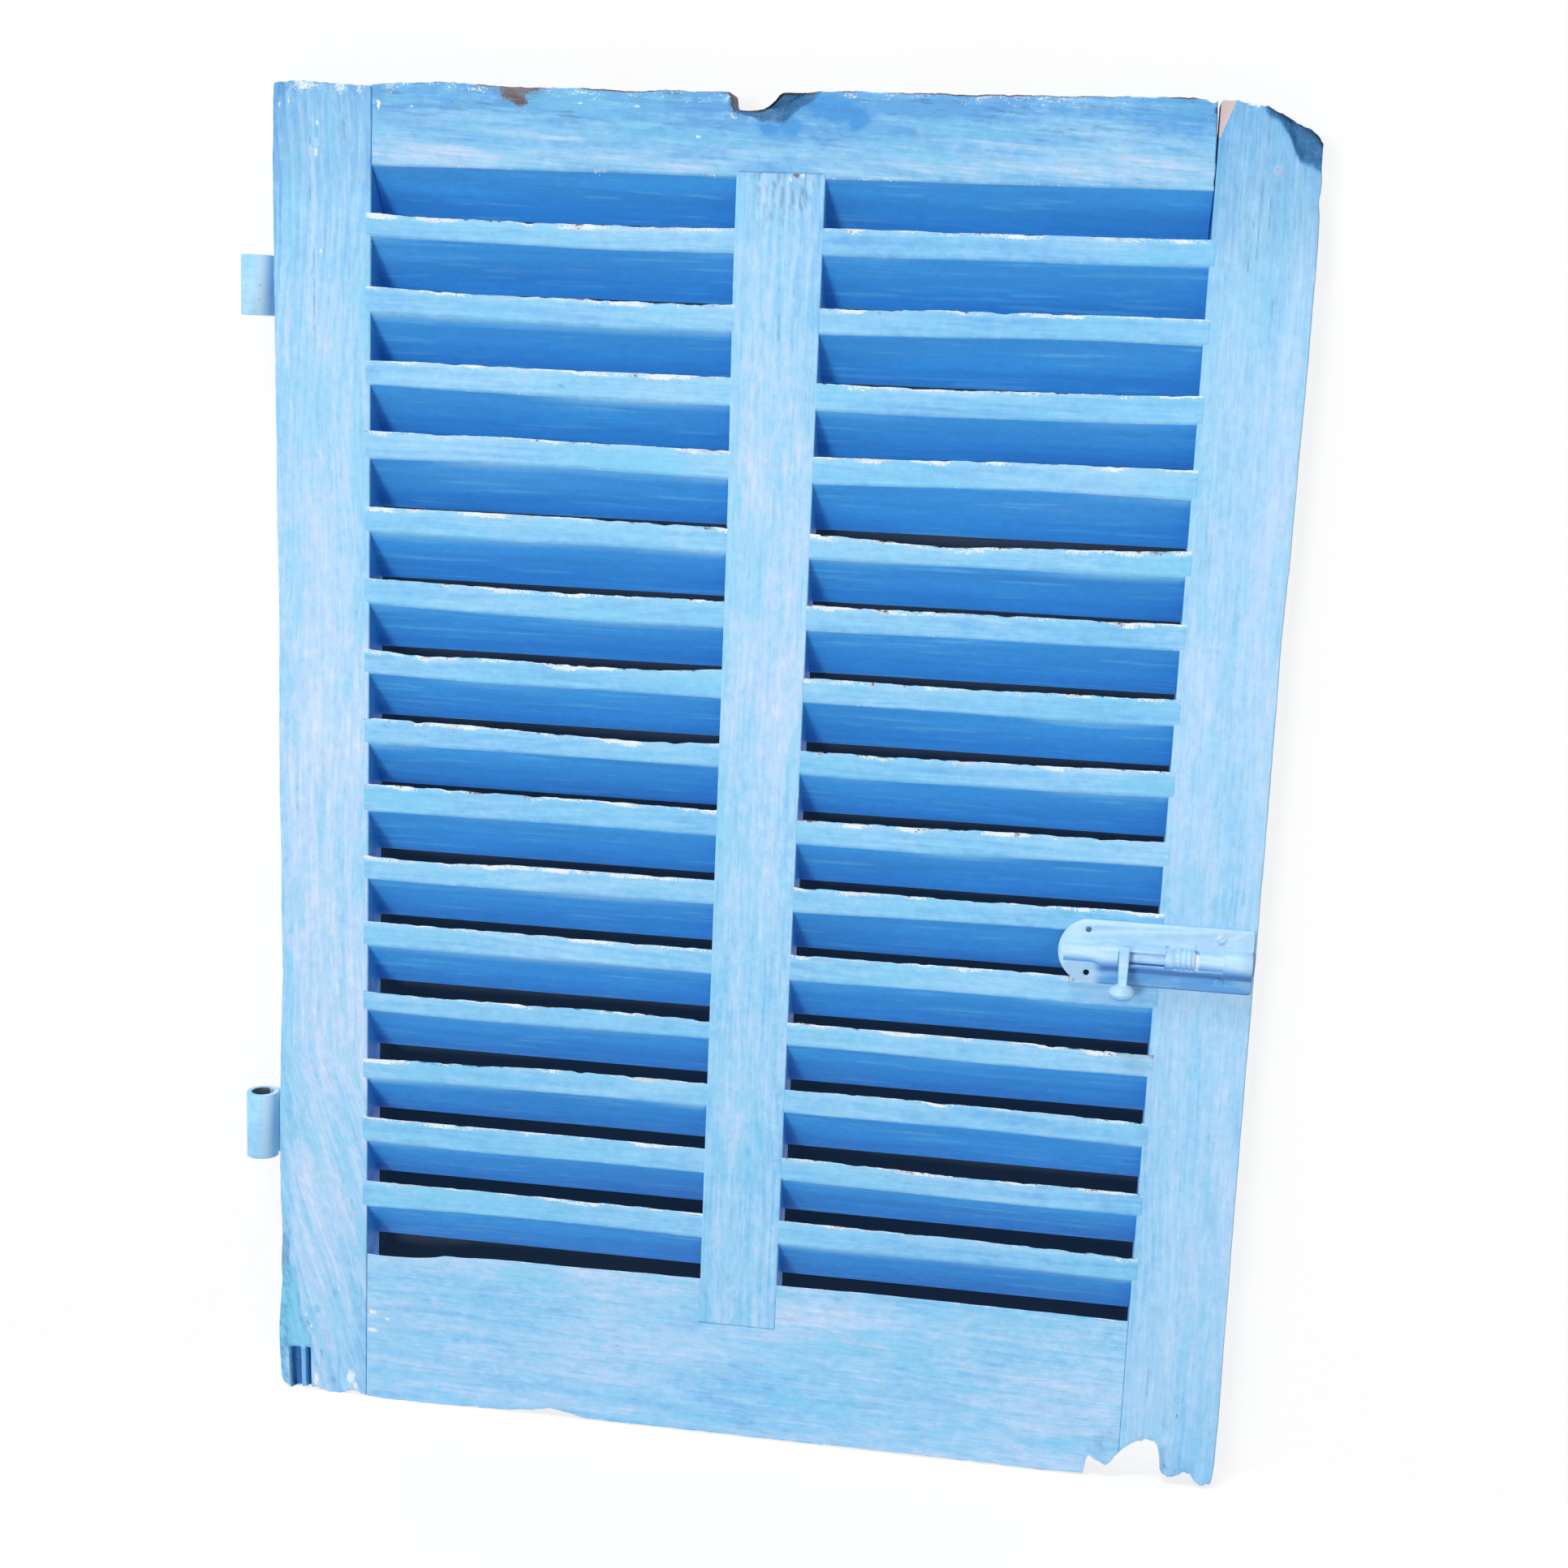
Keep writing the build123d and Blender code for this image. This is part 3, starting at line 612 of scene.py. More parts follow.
lockStile = {
    "spacing": (1.05, 4.4, 3.0), "radius": 1.2, "reach": 75,
    "facetFrom": (682, 686), "facetDepth": 6.0, "facetFall": 0.55,
    "wedgeDepth": 1.4, "wedgeTop": (31, 35), "wall": (-906, -914),
    "paleAt": [
        (-942, -0.08), (-880, 0.0), (-700, 0.02), (-450, 0.06), (-300, 0.10), (-150, 0.04), (-60, -0.10),
        (0, -0.22), (60, -0.32),
    ],
    "cracks": [
        (691, 10, 690, -46, 0.5), (686, -20, 685, -52, 0.4), (697, -4, 696, -40, 0.4),
        (703, -70, 702, -120, 0.35), (693, 50, 693, 30, 0.4), (712, -40, 712, -62, 0.4),
        (676.8, -850, 676, -872, 0.6), (690, -858, 690, -900, 0.35), (658.8, 33, 657.8, -8, 0.7),
        (657.6, -8, 659.4, -36, 0.7), (692.5, -926, 701.8, -929, 0.8), (700, -931, 706, -928, 0.6),
    ],
    "chips": [(680, 55.5, 3.0, 1.6), (684, 54, 2.2, 1.0)],
    "dents": [(699.8, -885.6, 2.2, 2.6), (706, 44.7, 3.0, 1.2)],
}
mullionPiece = {
    "spacing": (1.4, 4.4, 3.0), "radius": 0.7, "proud": 0.35, "lap": 2, "leftSwell": 2.0, "rightSwell": 1.2,
    "paleAt": [
        (-940, 0.02), (-820, -0.02), (-560, 0.02), (-300, 0.06), (-120, 0.08), (-60, 0.10), (-30, -0.02),
        (2, 0.0),
    ],
    "cracks": [
        (356, 0, 356.4, -22, 0.45), (360, -3, 360, -30, 0.4), (363.5, 1, 364, -18, 0.45),
        (367, -6, 367, -34, 0.4), (371, 0, 371, -14, 0.4), (374.5, -4, 374, -26, 0.45),
        (378, -2, 378.4, -20, 0.4), (352, -8, 352, -20, 0.4), (366, -40, 367, -110, 0.4),
        (381, -2, 381, -12, 0.5),
    ],
    "bareSpots": [(375, 0.6, 3.2, 1.4), (384, -1.0, 3.0, 1.0)],
    "chalkSpots": [(379, 1.0, 2.2, 0.9), (371, -2.2, 1.2, 1.2)],
}
waveReach = 40  # how far an edge's waviness reaches into a stile


def arrisOf(distance, wide=0.8):
    return np.exp(-distance / wide)


def buildHingeStile():
    # x gains the left outline's offset, which fades out over waveReach; y gains the slots' depth, less
    # the patch's rise; z follows the outline at both ends
    piece = hingeStile
    borders = [x + step for slot in piece["slots"] for x in slot for step in (-0.25, 0.25)]
    board = Board(hingeLow, hingeHigh, piece, borders + piece["lines"])
    fromTop, fromBottom = board.followEnds()
    across, level, front, marks = board.across, board.level, board.front, board.marks
    wave = along(outline["left"], level) + 0.35 * board.layers((6, 20, 9), 11)
    board.points[:, 0] += wave * (1 - np.clip(across / waveReach, 0, 1))
    # a patch stands a little proud of the lower left corner, and two slots are broken out under it
    patch = smoothStep(1.2, 0, across - along(piece["patchEdge"], level)) * front
    patch = patch * between(level, *piece["patchSpan"])
    board.points[:, 1] -= patch * (0.7 + 0.5 * board.layers((4, 9, 5), 13))
    underPatch = smoothStep(*piece["slotTop"], level) * front
    slot = sum(between(across, a - 0.3, a + 0.3, b - 0.3, b + 0.3) for a, b in piece["slots"]) * underPatch
    board.points[:, 1] += slot * piece["slotDepth"]
    board.bleach()
    # painted shade: the slots get the deep colour, and the post between them part of it, for the shade in the
    # recess
    marks["sun"] *= (1 - slot) * (1 - 0.45 * between(across, *piece["post"]) * underPatch)
    marks["pale"] = along(piece["paleAt"], level) + 0.10 * bell(across, 36, 16)
    marks["pale"] -= 0.10 * smoothStep(12, 0, across) + 0.22 * patch
    marks["aqua"] = 0.55 * patch + 0.30 * smoothStep(14, 2, across) * smoothStep(-500, -800, level)
    hatch = smoothStep(-0.25, 0.35, board.layers((2.4, 9, 2.2), 14, faceOnly))
    hatch = hatch * smoothStep(12, 4, across) * smoothStep(-760, -850, level)
    wedge = between(across, *piece["wedge"][0]) * between(level, *piece["wedge"][1])
    marks["crackAndShade"] = (board.strokes(piece["cracks"]) + 0.9 * (hatch + wedge)) * front
    # painted shade: dark grime in the slots
    marks["grimeAndShade"] = slot * 0.46
    bow = 0.30 * np.clip(-660 - level, 0, 400) + 5 * (1 + board.layers((40, 9, 120), 85, faceOnly))
    marks["bend"] = bow * milli
    board.wear("chalk", 0.7 * board.strokes(piece["patchTop"]) * front)
    board.wear("chalk", board.spots(piece["chips"]) * front)
    board.wear("crackAndShade", 0.8 * board.spots(piece["dents"]) * front)
    arris = arrisOf(np.minimum(across, hingeHigh[0] - hingeLow[0] - across))
    board.wear("chalk", arris * board.patchy(0.18, 0.5, (8, 40, 14), 17) * front)
    board.wear("crackAndShade", 0.8 * arrisOf(across, 1.2) * smoothStep(0.1, 0.5, board.noise((9, 40, 3.5), 86)))
    topBand = smoothStep(0.74, 0.97, fromTop)
    # painted shade: the top of the stile is darkened a little with the crack tone
    board.wear("crackAndShade", 0.24 * smoothStep(-40, 10, level) * front)
    dashes = smoothStep(0.05, 0.45, board.layers((1.8, 9, 6), 87, faceOnly))
    board.wear("crackAndShade", topBand * dashes * front)
    board.wear("chalk", topBand * board.patchy(0.28, 0.34, (7, 9, 9), 18, faceOnly))
    board.wear("bare", smoothStep(0.975, 1.0, fromTop) * board.patchy(0.15, 0.4, (9, 30, 30), 19))
    board.wear("chalk", smoothStep(0.97, 1.0, fromBottom) * board.patchy(0.2, 0.4, (7, 30, 30), 20))
    board.add("hinge_stile", "hingeStileWood")


def buildLockStile():
    # x gains the right outline's offset, which fades in over waveReach; y gains the facet's fall and
    # the wedge's depth; z follows the outline at both ends
    piece = lockStile
    board = Board(lockLow, lockHigh, piece)
    board.followEnds()
    across, front, marks = board.across, board.front, board.marks
    left, right = lockLow[0] - leafLeft, lockHigh[0] - leafLeft
    wave = along(outline["right"], board.level) + 0.3 * board.layers((6, 20, 9), 23)
    board.points[:, 0] += wave * np.clip((across - right + waveReach) / waveReach, 0, 1)
    level = board.level = board.points[:, 2] - topRailLower
    # the broken corner is a facet that falls back from its lower boundary; the deep colour and dark grime on
    # it, darkest along its rim, are a painted shade
    boundary = along(outline["facet"], across) + 0.8 * board.noise((5, 9, 9), 24, acrossOnly)
    facet = smoothStep(-0.8, 1.6, level - boundary) * smoothStep(*piece["facetFrom"], across) * front
    blurred = boundary + 2.4 * board.layers((5, 9, 5), 88, faceOnly)
    shaded = smoothStep(-2.6, 2.6, level - blurred) * smoothStep(682, 690, across) * front
    board.points[:, 1] += facet * np.clip((level - boundary) * piece["facetFall"], 0, piece["facetDepth"])
    wedgeEdge = left + 1 + 0.38 * (level - 33)
    wedge = smoothStep(0.8, -0.8, across - wedgeEdge) * smoothStep(*piece["wedgeTop"], level) * front
    board.points[:, 1] += wedge * piece["wedgeDepth"]
    board.bleach()
    marks["sun"] *= 1 - 0.85 * shaded
    rim = smoothStep(7.0, 0.4, along(outline["top"], across) - level) * smoothStep(686, 693, across) * front
    marks["grimeAndShade"] = np.maximum(0.50 * shaded, board.patchy(0.74, 0.2, (6, 9, 4), 89, faceOnly) * rim)
    marks["fresh"] = 0.95 * wedge
    board.wear("chalk", 0.8 * wedge * smoothStep(46, 36, level))
    board.wear("chalk", 0.9 * board.spots(piece["chips"]) * front)
    foot = smoothStep(-880, -925, level) * board.patchy(0.5, 0.5, (6, 9, 8), 29, faceOnly)
    marks["pale"] = along(piece["paleAt"], level) - 0.06 * smoothStep(670, 660, across)
    marks["pale"] += 0.05 * smoothStep(700, 720, across) - 0.06 * foot
    marks["pale"] += 0.10 * smoothStep(-800, -860, level) * smoothStep(705, 690, across)
    marks["aqua"] = 0.12 * smoothStep(-700, -860, level) * smoothStep(700, 730, across)
    # painted shade: the front beside the foot notch's steep wall is darkened with the crack tone
    wall = smoothStep(3.4, 0.8, np.abs(across - 691)) * smoothStep(*piece["wall"], level) * front
    low = smoothStep(4.5, 0.6, level - along(outline["bottom"], across))
    low = 0.45 * low * board.patchy(0.5, 0.5, (4, 20, 6), 30)
    # the crack tone also darkens the top of the stile a little, a painted shade
    lines = 0.8 * board.strokes(piece["cracks"]) + 0.34 * smoothStep(-90, 0, level)
    marks["crackAndShade"] = (lines + 0.6 * wall + low) * front
    board.wear("bare", 0.5 * board.spots(piece["dents"]) * front)
    # painted shade: dark grime along the stile's inner side, beside the right bay
    innerSide = smoothStep(1.0, 0.2, across - left)
    board.wear("grimeAndShade", 0.85 * innerSide * smoothStep(-3, 12, level) * smoothStep(1.0, 0.6, front))
    arris = arrisOf(np.minimum(across - left, right - across)) * smoothStep(1, 0, facet)
    board.wear("chalk", arris * board.patchy(0.10, 0.45, (8, 40, 16), 31) * front)
    board.add("lock_stile", "lockStileWood")


def buildMullion():
    # y stands proud of the stiles by a little; x swells to both sides towards the top
    piece = mullionPiece
    low, high = mullionLow.copy(), mullionHigh.copy()
    low[2] = bottomRailUpper - thickness * slope
    high[2] = topRailLower + piece["lap"]
    board = Board(low, high, piece)
    across, level, front, marks = board.across, board.level, board.front, board.marks
    board.points[:, 1] -= piece["proud"] * front
    fromMiddle = (board.rest[:, 0] - 0.5 * (low[0] + high[0])) / (0.5 * (high[0] - low[0]))
    leftSide, rightSide = np.clip(-fromMiddle, 0, 1), np.clip(fromMiddle, 0, 1)
    board.points[:, 0] -= piece["leftSwell"] * smoothStep(-260, -40, level) * leftSide
    board.points[:, 0] += piece["rightSwell"] * smoothStep(-640, -300, level) * rightSide
    board.bleach()
    marks["pale"] = along(piece["paleAt"], level) - 0.08 * smoothStep(350, 340, across)
    marks["pale"] += 0.05 * bell(across, 372, 12)
    marks["aqua"] = 0.30 * smoothStep(348, 338, across)
    dash = smoothStep(0.05, 0.45, board.layers((1.9, 9, 8), 36, faceOnly)) * smoothStep(-44, -8, level)
    dash = dash * between(across, 342, 352, 386, 392)
    marks["crackAndShade"] = (board.strokes(piece["cracks"]) * 0.9 + 0.95 * dash) * front
    board.wear("bare", 0.9 * board.spots(piece["bareSpots"]) * front)
    board.wear("chalk", 0.9 * board.spots(piece["chalkSpots"]) * front)
    arris = arrisOf(np.minimum(board.rest[:, 0] - low[0], high[0] - board.rest[:, 0]), 0.7)
    board.wear("chalk", arris * board.patchy(0.15, 0.45, (8, 40, 14), 37) * front)
    board.wear("crackAndShade", 0.45 * arrisOf(np.abs(level - 1.6), 0.7) * front)
    lowEnd = arrisOf(np.abs(board.rest[:, 2] - low[2]))
    board.wear("chalk", lowEnd * board.patchy(0.2, 0.5, (5, 9, 9), 38) * front)
    board.add("mullion", "mullionWood")


buildHingeStile()
buildLockStile()
buildMullion()
print("stage: uprights made")

# Rails. closeOver gives the stretch that has closer stations: from, to and step, a little off whole
# places so that no station falls on another

topRail = {
    "spacing": (2.0, 4.0, 1.1), "radius": 0.8, "closeOver": (321.013, 396.013, 0.9),
    "biteSpan": (320, 326, 368, 376), "hollowSpan": (326, 330, 388, 395), "hollowShadeSpan": (326, 330, 384, 396),
    "lipSpan": (326, 330, 366, 390), "speckSpan": (329, 332, 340, 352),
    "hollowDepth": 8.0, "hollowFall": 0.62, "slant": 0.06, "slantFrom": 300,
    "paleStreaks": [
        (125, 12, 34, 4.0), (112, 4, 22, 3.0), (170, 6, 40, 3.0), (190, 22, 40, 2.2), (150, 33, 30, 2.0),
        (283, 5, 50, 3.5), (470, 8, 40, 4), (560, 10, 60, 5), (520, 24, 50, 2.5), (620, 16, 25, 3),
    ],
    "darkStreaks": [
        (110, 24, 26, 2.2), (230, 38, 60, 3.5), (280, 26, 50, 2.6), (300, 45, 40, 4), (420, 30, 30, 3),
        (480, 44, 60, 4.5), (600, 42, 50, 5), (560, 50, 70, 3),
    ],
    "scoopShadeSpots": [
        (404, 44, 15, 9), (416, 40, 9, 9), (392, 47, 12, 8), (380, 50, 10, 6), (370, 33, 9, 6),
        (355, 31, 8, 4),
    ],
    "brown": [(178, 55, 17, 5.0), (190, 57, 16, 3.6), (173, 50, 9, 6), (178, 46, 6, 4)],
    "brownRim": [(178, 51, 20, 10)],
    "chips": [
        (76.1, 40.4, 1.5, 4.2), (306, 24.5, 2.4, 0.8), (100, 40, 1.2, 0.8), (222, 45, 2.2, 0.9),
        (262, 44, 3.0, 0.9),
    ],
}
bottomRail = {
    "spacing": (2.6, 4.0, 1.7), "radius": 0.8, "closeOver": (626.017, 659.017, 0.9), "pale": 0.04,
    "paleStreaks": [
        (110, -815, 40, 5), (200, -820, 60, 5), (120, -925, 50, 5), (440, -835, 60, 6), (580, -838, 60, 6),
    ],
    "chips": [
        (75.8, -869.6, 3.0, 1.7), (87.1, -874.4, 2.6, 1.4), (76.2, -884.6, 4.0, 1.6), (333, -818, 1.5, 1.0),
        (393, -816, 1.5, 1.2),
    ],
    "brokenTip": [(645, -914, 4.5, 9), (652, -905, 3.0, 5), (636, -920, 2.0, 3.5)],
}


def railBoard(piece, face):
    low = np.array([leftBay[0], roomFace, 0.0])
    high = np.array([rightBay[1], outsideFace, face])
    beside = [x + step for x in (mullionLow[0], mullionHigh[0]) for step in (-0.8, 0.0, 0.4, 0.8, 1.4)]
    close = np.arange(*piece["closeOver"]) + leafLeft
    return Board(low, high, piece, np.concatenate([beside, close]) - low[0])


def buildTopRail():
    # z = lower + share * (upper - lower), the lower edge sloping back like a slat; y gains the hollow
    piece = topRail
    board = railBoard(piece, topRailFace)
    across, depth, front, marks, x = board.across, board.depth, board.front, board.marks, board.rest[:, 0]
    left, right = board.low[0], board.high[0]
    lower = topRailLower - depth * slope + 0.3 * board.noise((40, 30, 30), 41)
    splinter = 0.8 * board.layers((4.0, 12, 10), 43, (1, 0.3, 0))
    splinter = splinter + 0.5 * board.layers((14, 9, 10), 44, (1, 1, 0))
    calm = 1 - 0.7 * between(across, *piece["biteSpan"])
    upper = topRailLower + along(outline["top"], across) + splinter * calm
    board.followEdges(lower, upper, topRailFace)
    level = board.level
    # the right end stands off the stile by a crack that opens towards the top
    opening = 0.5 + 1.6 * smoothStep(20, 58, level) + 0.5 * board.noise((30, 30, 5), 47)
    board.points[:, 0] -= smoothStep(right - 14, right, x) * opening
    board.points[:, 0] += smoothStep(left + 8, left, x) * 0.15
    # under and beside the bite the face is hollowed back to the broken edge
    boundary = along(outline["hollow"], across)
    hollow = smoothStep(-0.8, 2.0, level - boundary) * between(across, *piece["hollowSpan"]) * front
    # painted shade: a blurred patch over the hollow gets the deep colour and dark grime that stand for its
    # shade
    blurred = boundary + 2.0 * board.layers((6, 9, 4), 90, faceOnly)
    hollowShade = smoothStep(-2.5, 2.5, level - blurred) * between(across, *piece["hollowShadeSpan"]) * front
    board.points[:, 1] += hollow * np.clip((level - boundary) * piece["hollowFall"], 0, piece["hollowDepth"])
    # painted shade: dark patches where the face right of the bite is scooped get the deep colour
    scoopShade = board.spots(piece["scoopShadeSpots"]) + 0.30 * board.layers((5, 9, 3.5), 48, faceOnly)
    scoopShade = smoothStep(0.24, 0.62, scoopShade) * front
    board.sinkUnderMullion(-np.inf, topRailLower + mullionPiece["lap"])
    board.bleach()
    endShade = smoothStep(590, 652, across) * smoothStep(30, 54, level) * front
    marks["sun"] *= (1 - 0.90 * hollowShade) * (1 - 0.80 * scoopShade) * (1 - 0.35 * endShade)
    slant = level + piece["slant"] * (across - piece["slantFrom"])
    marks["pale"] = -0.20 + 0.12 * smoothStep(34, 8, level) - 0.16 * smoothStep(30, 50, level)
    for key, strength in (("paleStreaks", 0.30), ("darkStreaks", -0.16)):
        for middle, z, wide, tall in piece[key]:
            rise = z + piece["slant"] * (middle - piece["slantFrom"])
            marks["pale"] += strength * bell(across, middle, wide) * bell(slant, rise, tall)
    grainPlace = np.stack([across, np.zeros_like(across), slant], -1)
    strokes = smoothStep(0.25, 0.65, layeredNoise(grainPlace, (22, 9, 1.9), 54))
    upperBand = smoothStep(24, 46, level + 4 * board.noise((60, 9, 20), 55, faceOnly))
    # the crack tone lies thinly over the whole face as a painted shade, and more along the grain strokes in
    # the upper band
    marks["crackAndShade"] = (0.20 + strokes * (0.14 + 0.80 * upperBand)) * front
    fromEdge = upper - board.points[:, 2]
    darkTop = smoothStep(1.8, 0.5, fromEdge) * board.patchy(0.55, 0.45, (16, 9, 9), 49, acrossOnly)
    darkTop = darkTop * smoothStep(100, 150, across)
    brown = board.spots(piece["brown"]) * front
    board.wear("bare", darkTop)
    board.wear("bare", brown)
    board.wear("crackAndShade", 0.9 * board.spots(piece["brownRim"]) * front)
    board.wear("grimeAndShade", 0.4 * brown * board.patchy(0.5, 0.5, (3, 9, 2), 56, faceOnly))
    speckled = smoothStep(13, 2, fromEdge) * board.patchy(0.24, 0.22, (9, 9, 3), 50, faceOnly) * front
    board.wear("chalk", np.clip(speckled, 0, 1) * smoothStep(660, 560, across))
    board.wear("chalk", smoothStep(3.4, 0.6, fromEdge) * board.patchy(0.20, 0.40, (9, 60, 60), 57))
    board.wear("chalk", board.spots(piece["chips"]) * front)
    board.wear("chalk", smoothStep(1.8, 0.0, level) * front * board.patchy(0.15, 0.35, (16, 60, 60), 51))
    # painted shade: dark grime in a band under the broken edge over the bite
    lip = smoothStep(5.0, 0.3, along(outline["top"], across) - level) * front
    lip = lip * between(across, *piece["lipSpan"])
    board.wear("grimeAndShade", 0.56 * hollowShade)
    board.wear("grimeAndShade", lip * (0.7 + 0.25 * smoothStep(340, 350, across)))
    darkRight = darkTop * smoothStep(372, 400, across)
    board.wear("grimeAndShade", 0.75 * darkRight * board.patchy(0.4, 0.6, (30, 9, 9), 58, acrossOnly))
    speck = smoothStep(5.0, 0.5, 43.0 - level) * between(across, *piece["speckSpan"]) * (1 - hollow)
    board.wear("chalk", 0.35 * speck * front)
    board.wear("grimeAndShade", 0.5 * arrisOf(x - left, 0.4) * board.patchy(0.5, 0.5, (9, 9, 9), 59))
    board.wear("grimeAndShade", 0.9 * arrisOf(right - x, 0.6) * smoothStep(-2, 10, level))
    jag = bell(x, right, 2.2) * smoothStep(0.0, 0.4, board.noise((9, 9, 4), 60, upOnly))
    board.wear("grimeAndShade", 0.9 * jag * smoothStep(34, 50, level) * front)
    board.add("top_rail", "topRailWood")


def buildBottomRail():
    # z = lower + share * (upper - lower), the upper edge sloping back like a slat and worn in front
    piece = bottomRail
    board = railBoard(piece, bottomRailFace)
    across, depth, front, marks, x = board.across, board.depth, board.front, board.marks, board.rest[:, 0]
    left = board.low[0]
    worn = along(outline["bottomRail"], across) * smoothStep(16, 0, depth)
    upper = bottomRailUpper - depth * slope + worn + 0.5 * board.layers((12, 30, 30), 53)
    splinter = 0.7 * board.layers((5, 12, 10), 54, (1, 0.3, 0))
    splinter = splinter + board.noise((1.9, 9, 10), 61, (1, 0.3, 0)) * smoothStep(626, 634, across)
    lower = topRailLower + along(outline["bottom"], across) + splinter
    board.followEdges(lower, upper, bottomRailFace)
    level = board.level
    board.points[:, 0] += smoothStep(left + 8, left, x) * 0.15
    board.sinkUnderMullion(bottomRailUpper - thickness * slope, np.inf)
    board.bleach()
    marks["pale"] = piece["pale"] + 0.01 * smoothStep(400, 640, across)
    for middle, z, wide, tall in piece["paleStreaks"]:
        marks["pale"] += 0.16 * bell(across, middle, wide) * bell(level, z, tall)
    marks["pale"] -= 0.12 * smoothStep(626, 648, across) * smoothStep(-896, -922, level) * front
    wavy = level + 2.4 * board.noise((46, 9, 26), 62, faceOnly)
    grainPlace = np.stack([across, np.zeros_like(across), wavy], -1)
    marks["crackAndShade"] = 0.26 * smoothStep(0.30, 0.70, layeredNoise(grainPlace, (17, 9, 2.0), 63)) * front
    marks["aqua"] = 0.28 * smoothStep(0.0, 0.6, layeredNoise(grainPlace, (50, 9, 9), 64)) * front
    crest = smoothStep(2.0, 0.2, upper - board.points[:, 2]) * smoothStep(5, 0, depth)
    board.wear("chalk", crest * board.patchy(0.45, 0.4, (18, 60, 60), 56))
    board.wear("bare", crest * board.patchy(0.05, 0.4, (24, 60, 60), 65))
    under = smoothStep(2.0, 0.2, board.points[:, 2] - lower)
    board.wear("chalk", under * board.patchy(0.25, 0.5, (10, 60, 60), 57))
    board.wear("bare", under * board.patchy(0.05, 0.45, (12, 60, 60), 58))
    board.wear("chalk", board.spots(piece["chips"]) * front)
    tip = board.spots(piece["brokenTip"]) * board.patchy(0.6, 0.4, (2.6, 9, 4), 66, faceOnly)
    board.wear("crackAndShade", 0.75 * tip * front)
    board.wear("grimeAndShade", 0.45 * arrisOf(x - left, 0.4) * board.patchy(0.6, 0.4, (9, 9, 12), 67, upOnly))
    board.add("bottom_rail", "bottomRailWood")


buildTopRail()
buildBottomRail()
print("stage: rails made")

# Slats. For each, how far its crown and its belly stand off the straight edge, in millimetres:
# the crown at seven even places from left to right, the belly at four
slatShapes = {
    "left_01": ([-0.5, -2.5, -3, -3.5, -3.5, -3.5, -2.5], [3, 1, -0.5, 0.5]),
    "left_02": ([1, -1, -2.5, -2.5, -3, -3, -2.5], [2, 0, -2, -1.5]),
    "left_03": ([1, 1, 0.5, 0, 0, 0, -0.5], [2.5, 1, 0, -0.5]),
    "left_04": ([3, 2.5, 3, 2, 1.5, 1, 1], [2, 3, 2, 0]),
    "left_05": ([0, 0, 0, -0.5, -1, -1.5, -2], [1, 0, 0, -1]),
    "left_06": ([0, -1.5, -2, -3, -3, -2.5, -2], [0.5, -2, -2.5, -2]),
    "left_07": ([-1, -3.5, -2.5, -3, -3.5, -3, 0.5], [0.5, -1, -1, -2]),
    "left_08": ([-0.5, -0.5, -1.5, -3, -4, -4, -2], [0, 0, 0, 0]),
    "left_09": ([2, 2, 1.5, 1.5, 1.5, 1, 1], [0, 1, 1, 0.5]),
    "left_10": ([-1.5, -3, -1.5, 0, 0, 0, 0], [0, 0, 1, 1]),
    "left_11": ([0, 0, -0.5, -0.5, -1, -1, -1], [0, 0, 0.5, 0]),
    "left_12": ([-3.5, -4.5, -4, -4, -3, -3, -4.5], [1, 0, 1, 1.5]),
    "left_13": ([-5, -3.5, -3, -1, -1, -0.5, 0], [-1.5, 0, 0, 1]),
    "left_14": ([0.5, 0, 0, 0, 0, -0.5, -0.5], [0, -1, -0.5, -0.5]),
    "left_15": ([0.5, 0.5, 0.5, 0.5, 0.5, 0.5, 0], [-1.5, 0, 0.5, -0.5]),
    "right_01": ([-0.5, -0.5, -0.5, -0.5, 0, 0, 0.5], [0.5, 1, 1, 1.5]),
    "right_02": ([-3, -2.5, -1, -1, 0, 0, 0], [-1, 0, 2, 1.5]),
    "right_03": ([-2, -2.5, -2.5, -2, -1.5, -1, 1], [-1, -2, -1, 0.5]),
    "right_04": ([-1, -0.5, 1, 2, 2.5, 2.5, 2.5], [-0.5, 1, 2.5, 1.5]),
    "right_05": ([-3, -5, -7, -6, -4.5, -3.5, -1.5], [-1.5, -1, -1, 0]),
    "right_06": ([-1.5, -2, -1.5, -1.5, -1, -1, 0], [-0.5, 0, 0, 0.5]),
    "right_07": ([-2, -2.5, -3, -3, -2, -2, -1], [-1, -1, -1.5, -0.5]),
    "right_08": ([-3.5, -3.5, -3.5, -2.5, -2.5, -1.5, -1], [-1.5, -2, -1, 0]),
    "right_09": ([-2.5, -2, -2, -1, -0.5, -0.5, 0.5], [-1.5, -1, 0.5, 1.5]),
    "right_10": ([-1, -1, -1, -1, -0.5, 0.5, 0.5], [-0.5, 1, 2, 1]),
    "right_11": ([0.5, 0.5, 1, 1, 1.5, 1, 1], [0, 0.5, 0.5, 1]),
    "right_12": ([0.5, 0, 0, 0, -0.5, -1.5, -1.5], [1.5, 1.5, 0.5, 1]),
    "right_13": ([0, 0.5, 0.5, 0, 0, -1, -1.5], [1, 1, 1, -0.5]),
    "right_14": ([-0.5, -2, -3, -4, -4, -4, -4], [0, -1, -2, -2]),
    "right_15": ([0.5, 0.5, 0, 0, -1, -1.5, -2.5], [0.5, 0, 0, -1]),
}
slatPiece = {
    "spacing": (3.0, 4.4, 1.8), "radius": 0.9, "proud": 0.2, "wearReach": 22, "topFall": 0.45,
    "strokes": {
        "left_03": [(220.2, -145.4, 231.9, -136.6, 0.7), (210, -150, 221, -145.5, 0.4)],
        "left_08": [(84, -402, 88, -398, 0.8)],
        "right_05": [(470, -246, 520, -247, 0.5)],
        "left_13": [(100, -661, 150, -663, 0.4)],
    },
    "holeShadeSpots": {"right_10": [(610, -516.3, 2.0, 2.0)]},
}


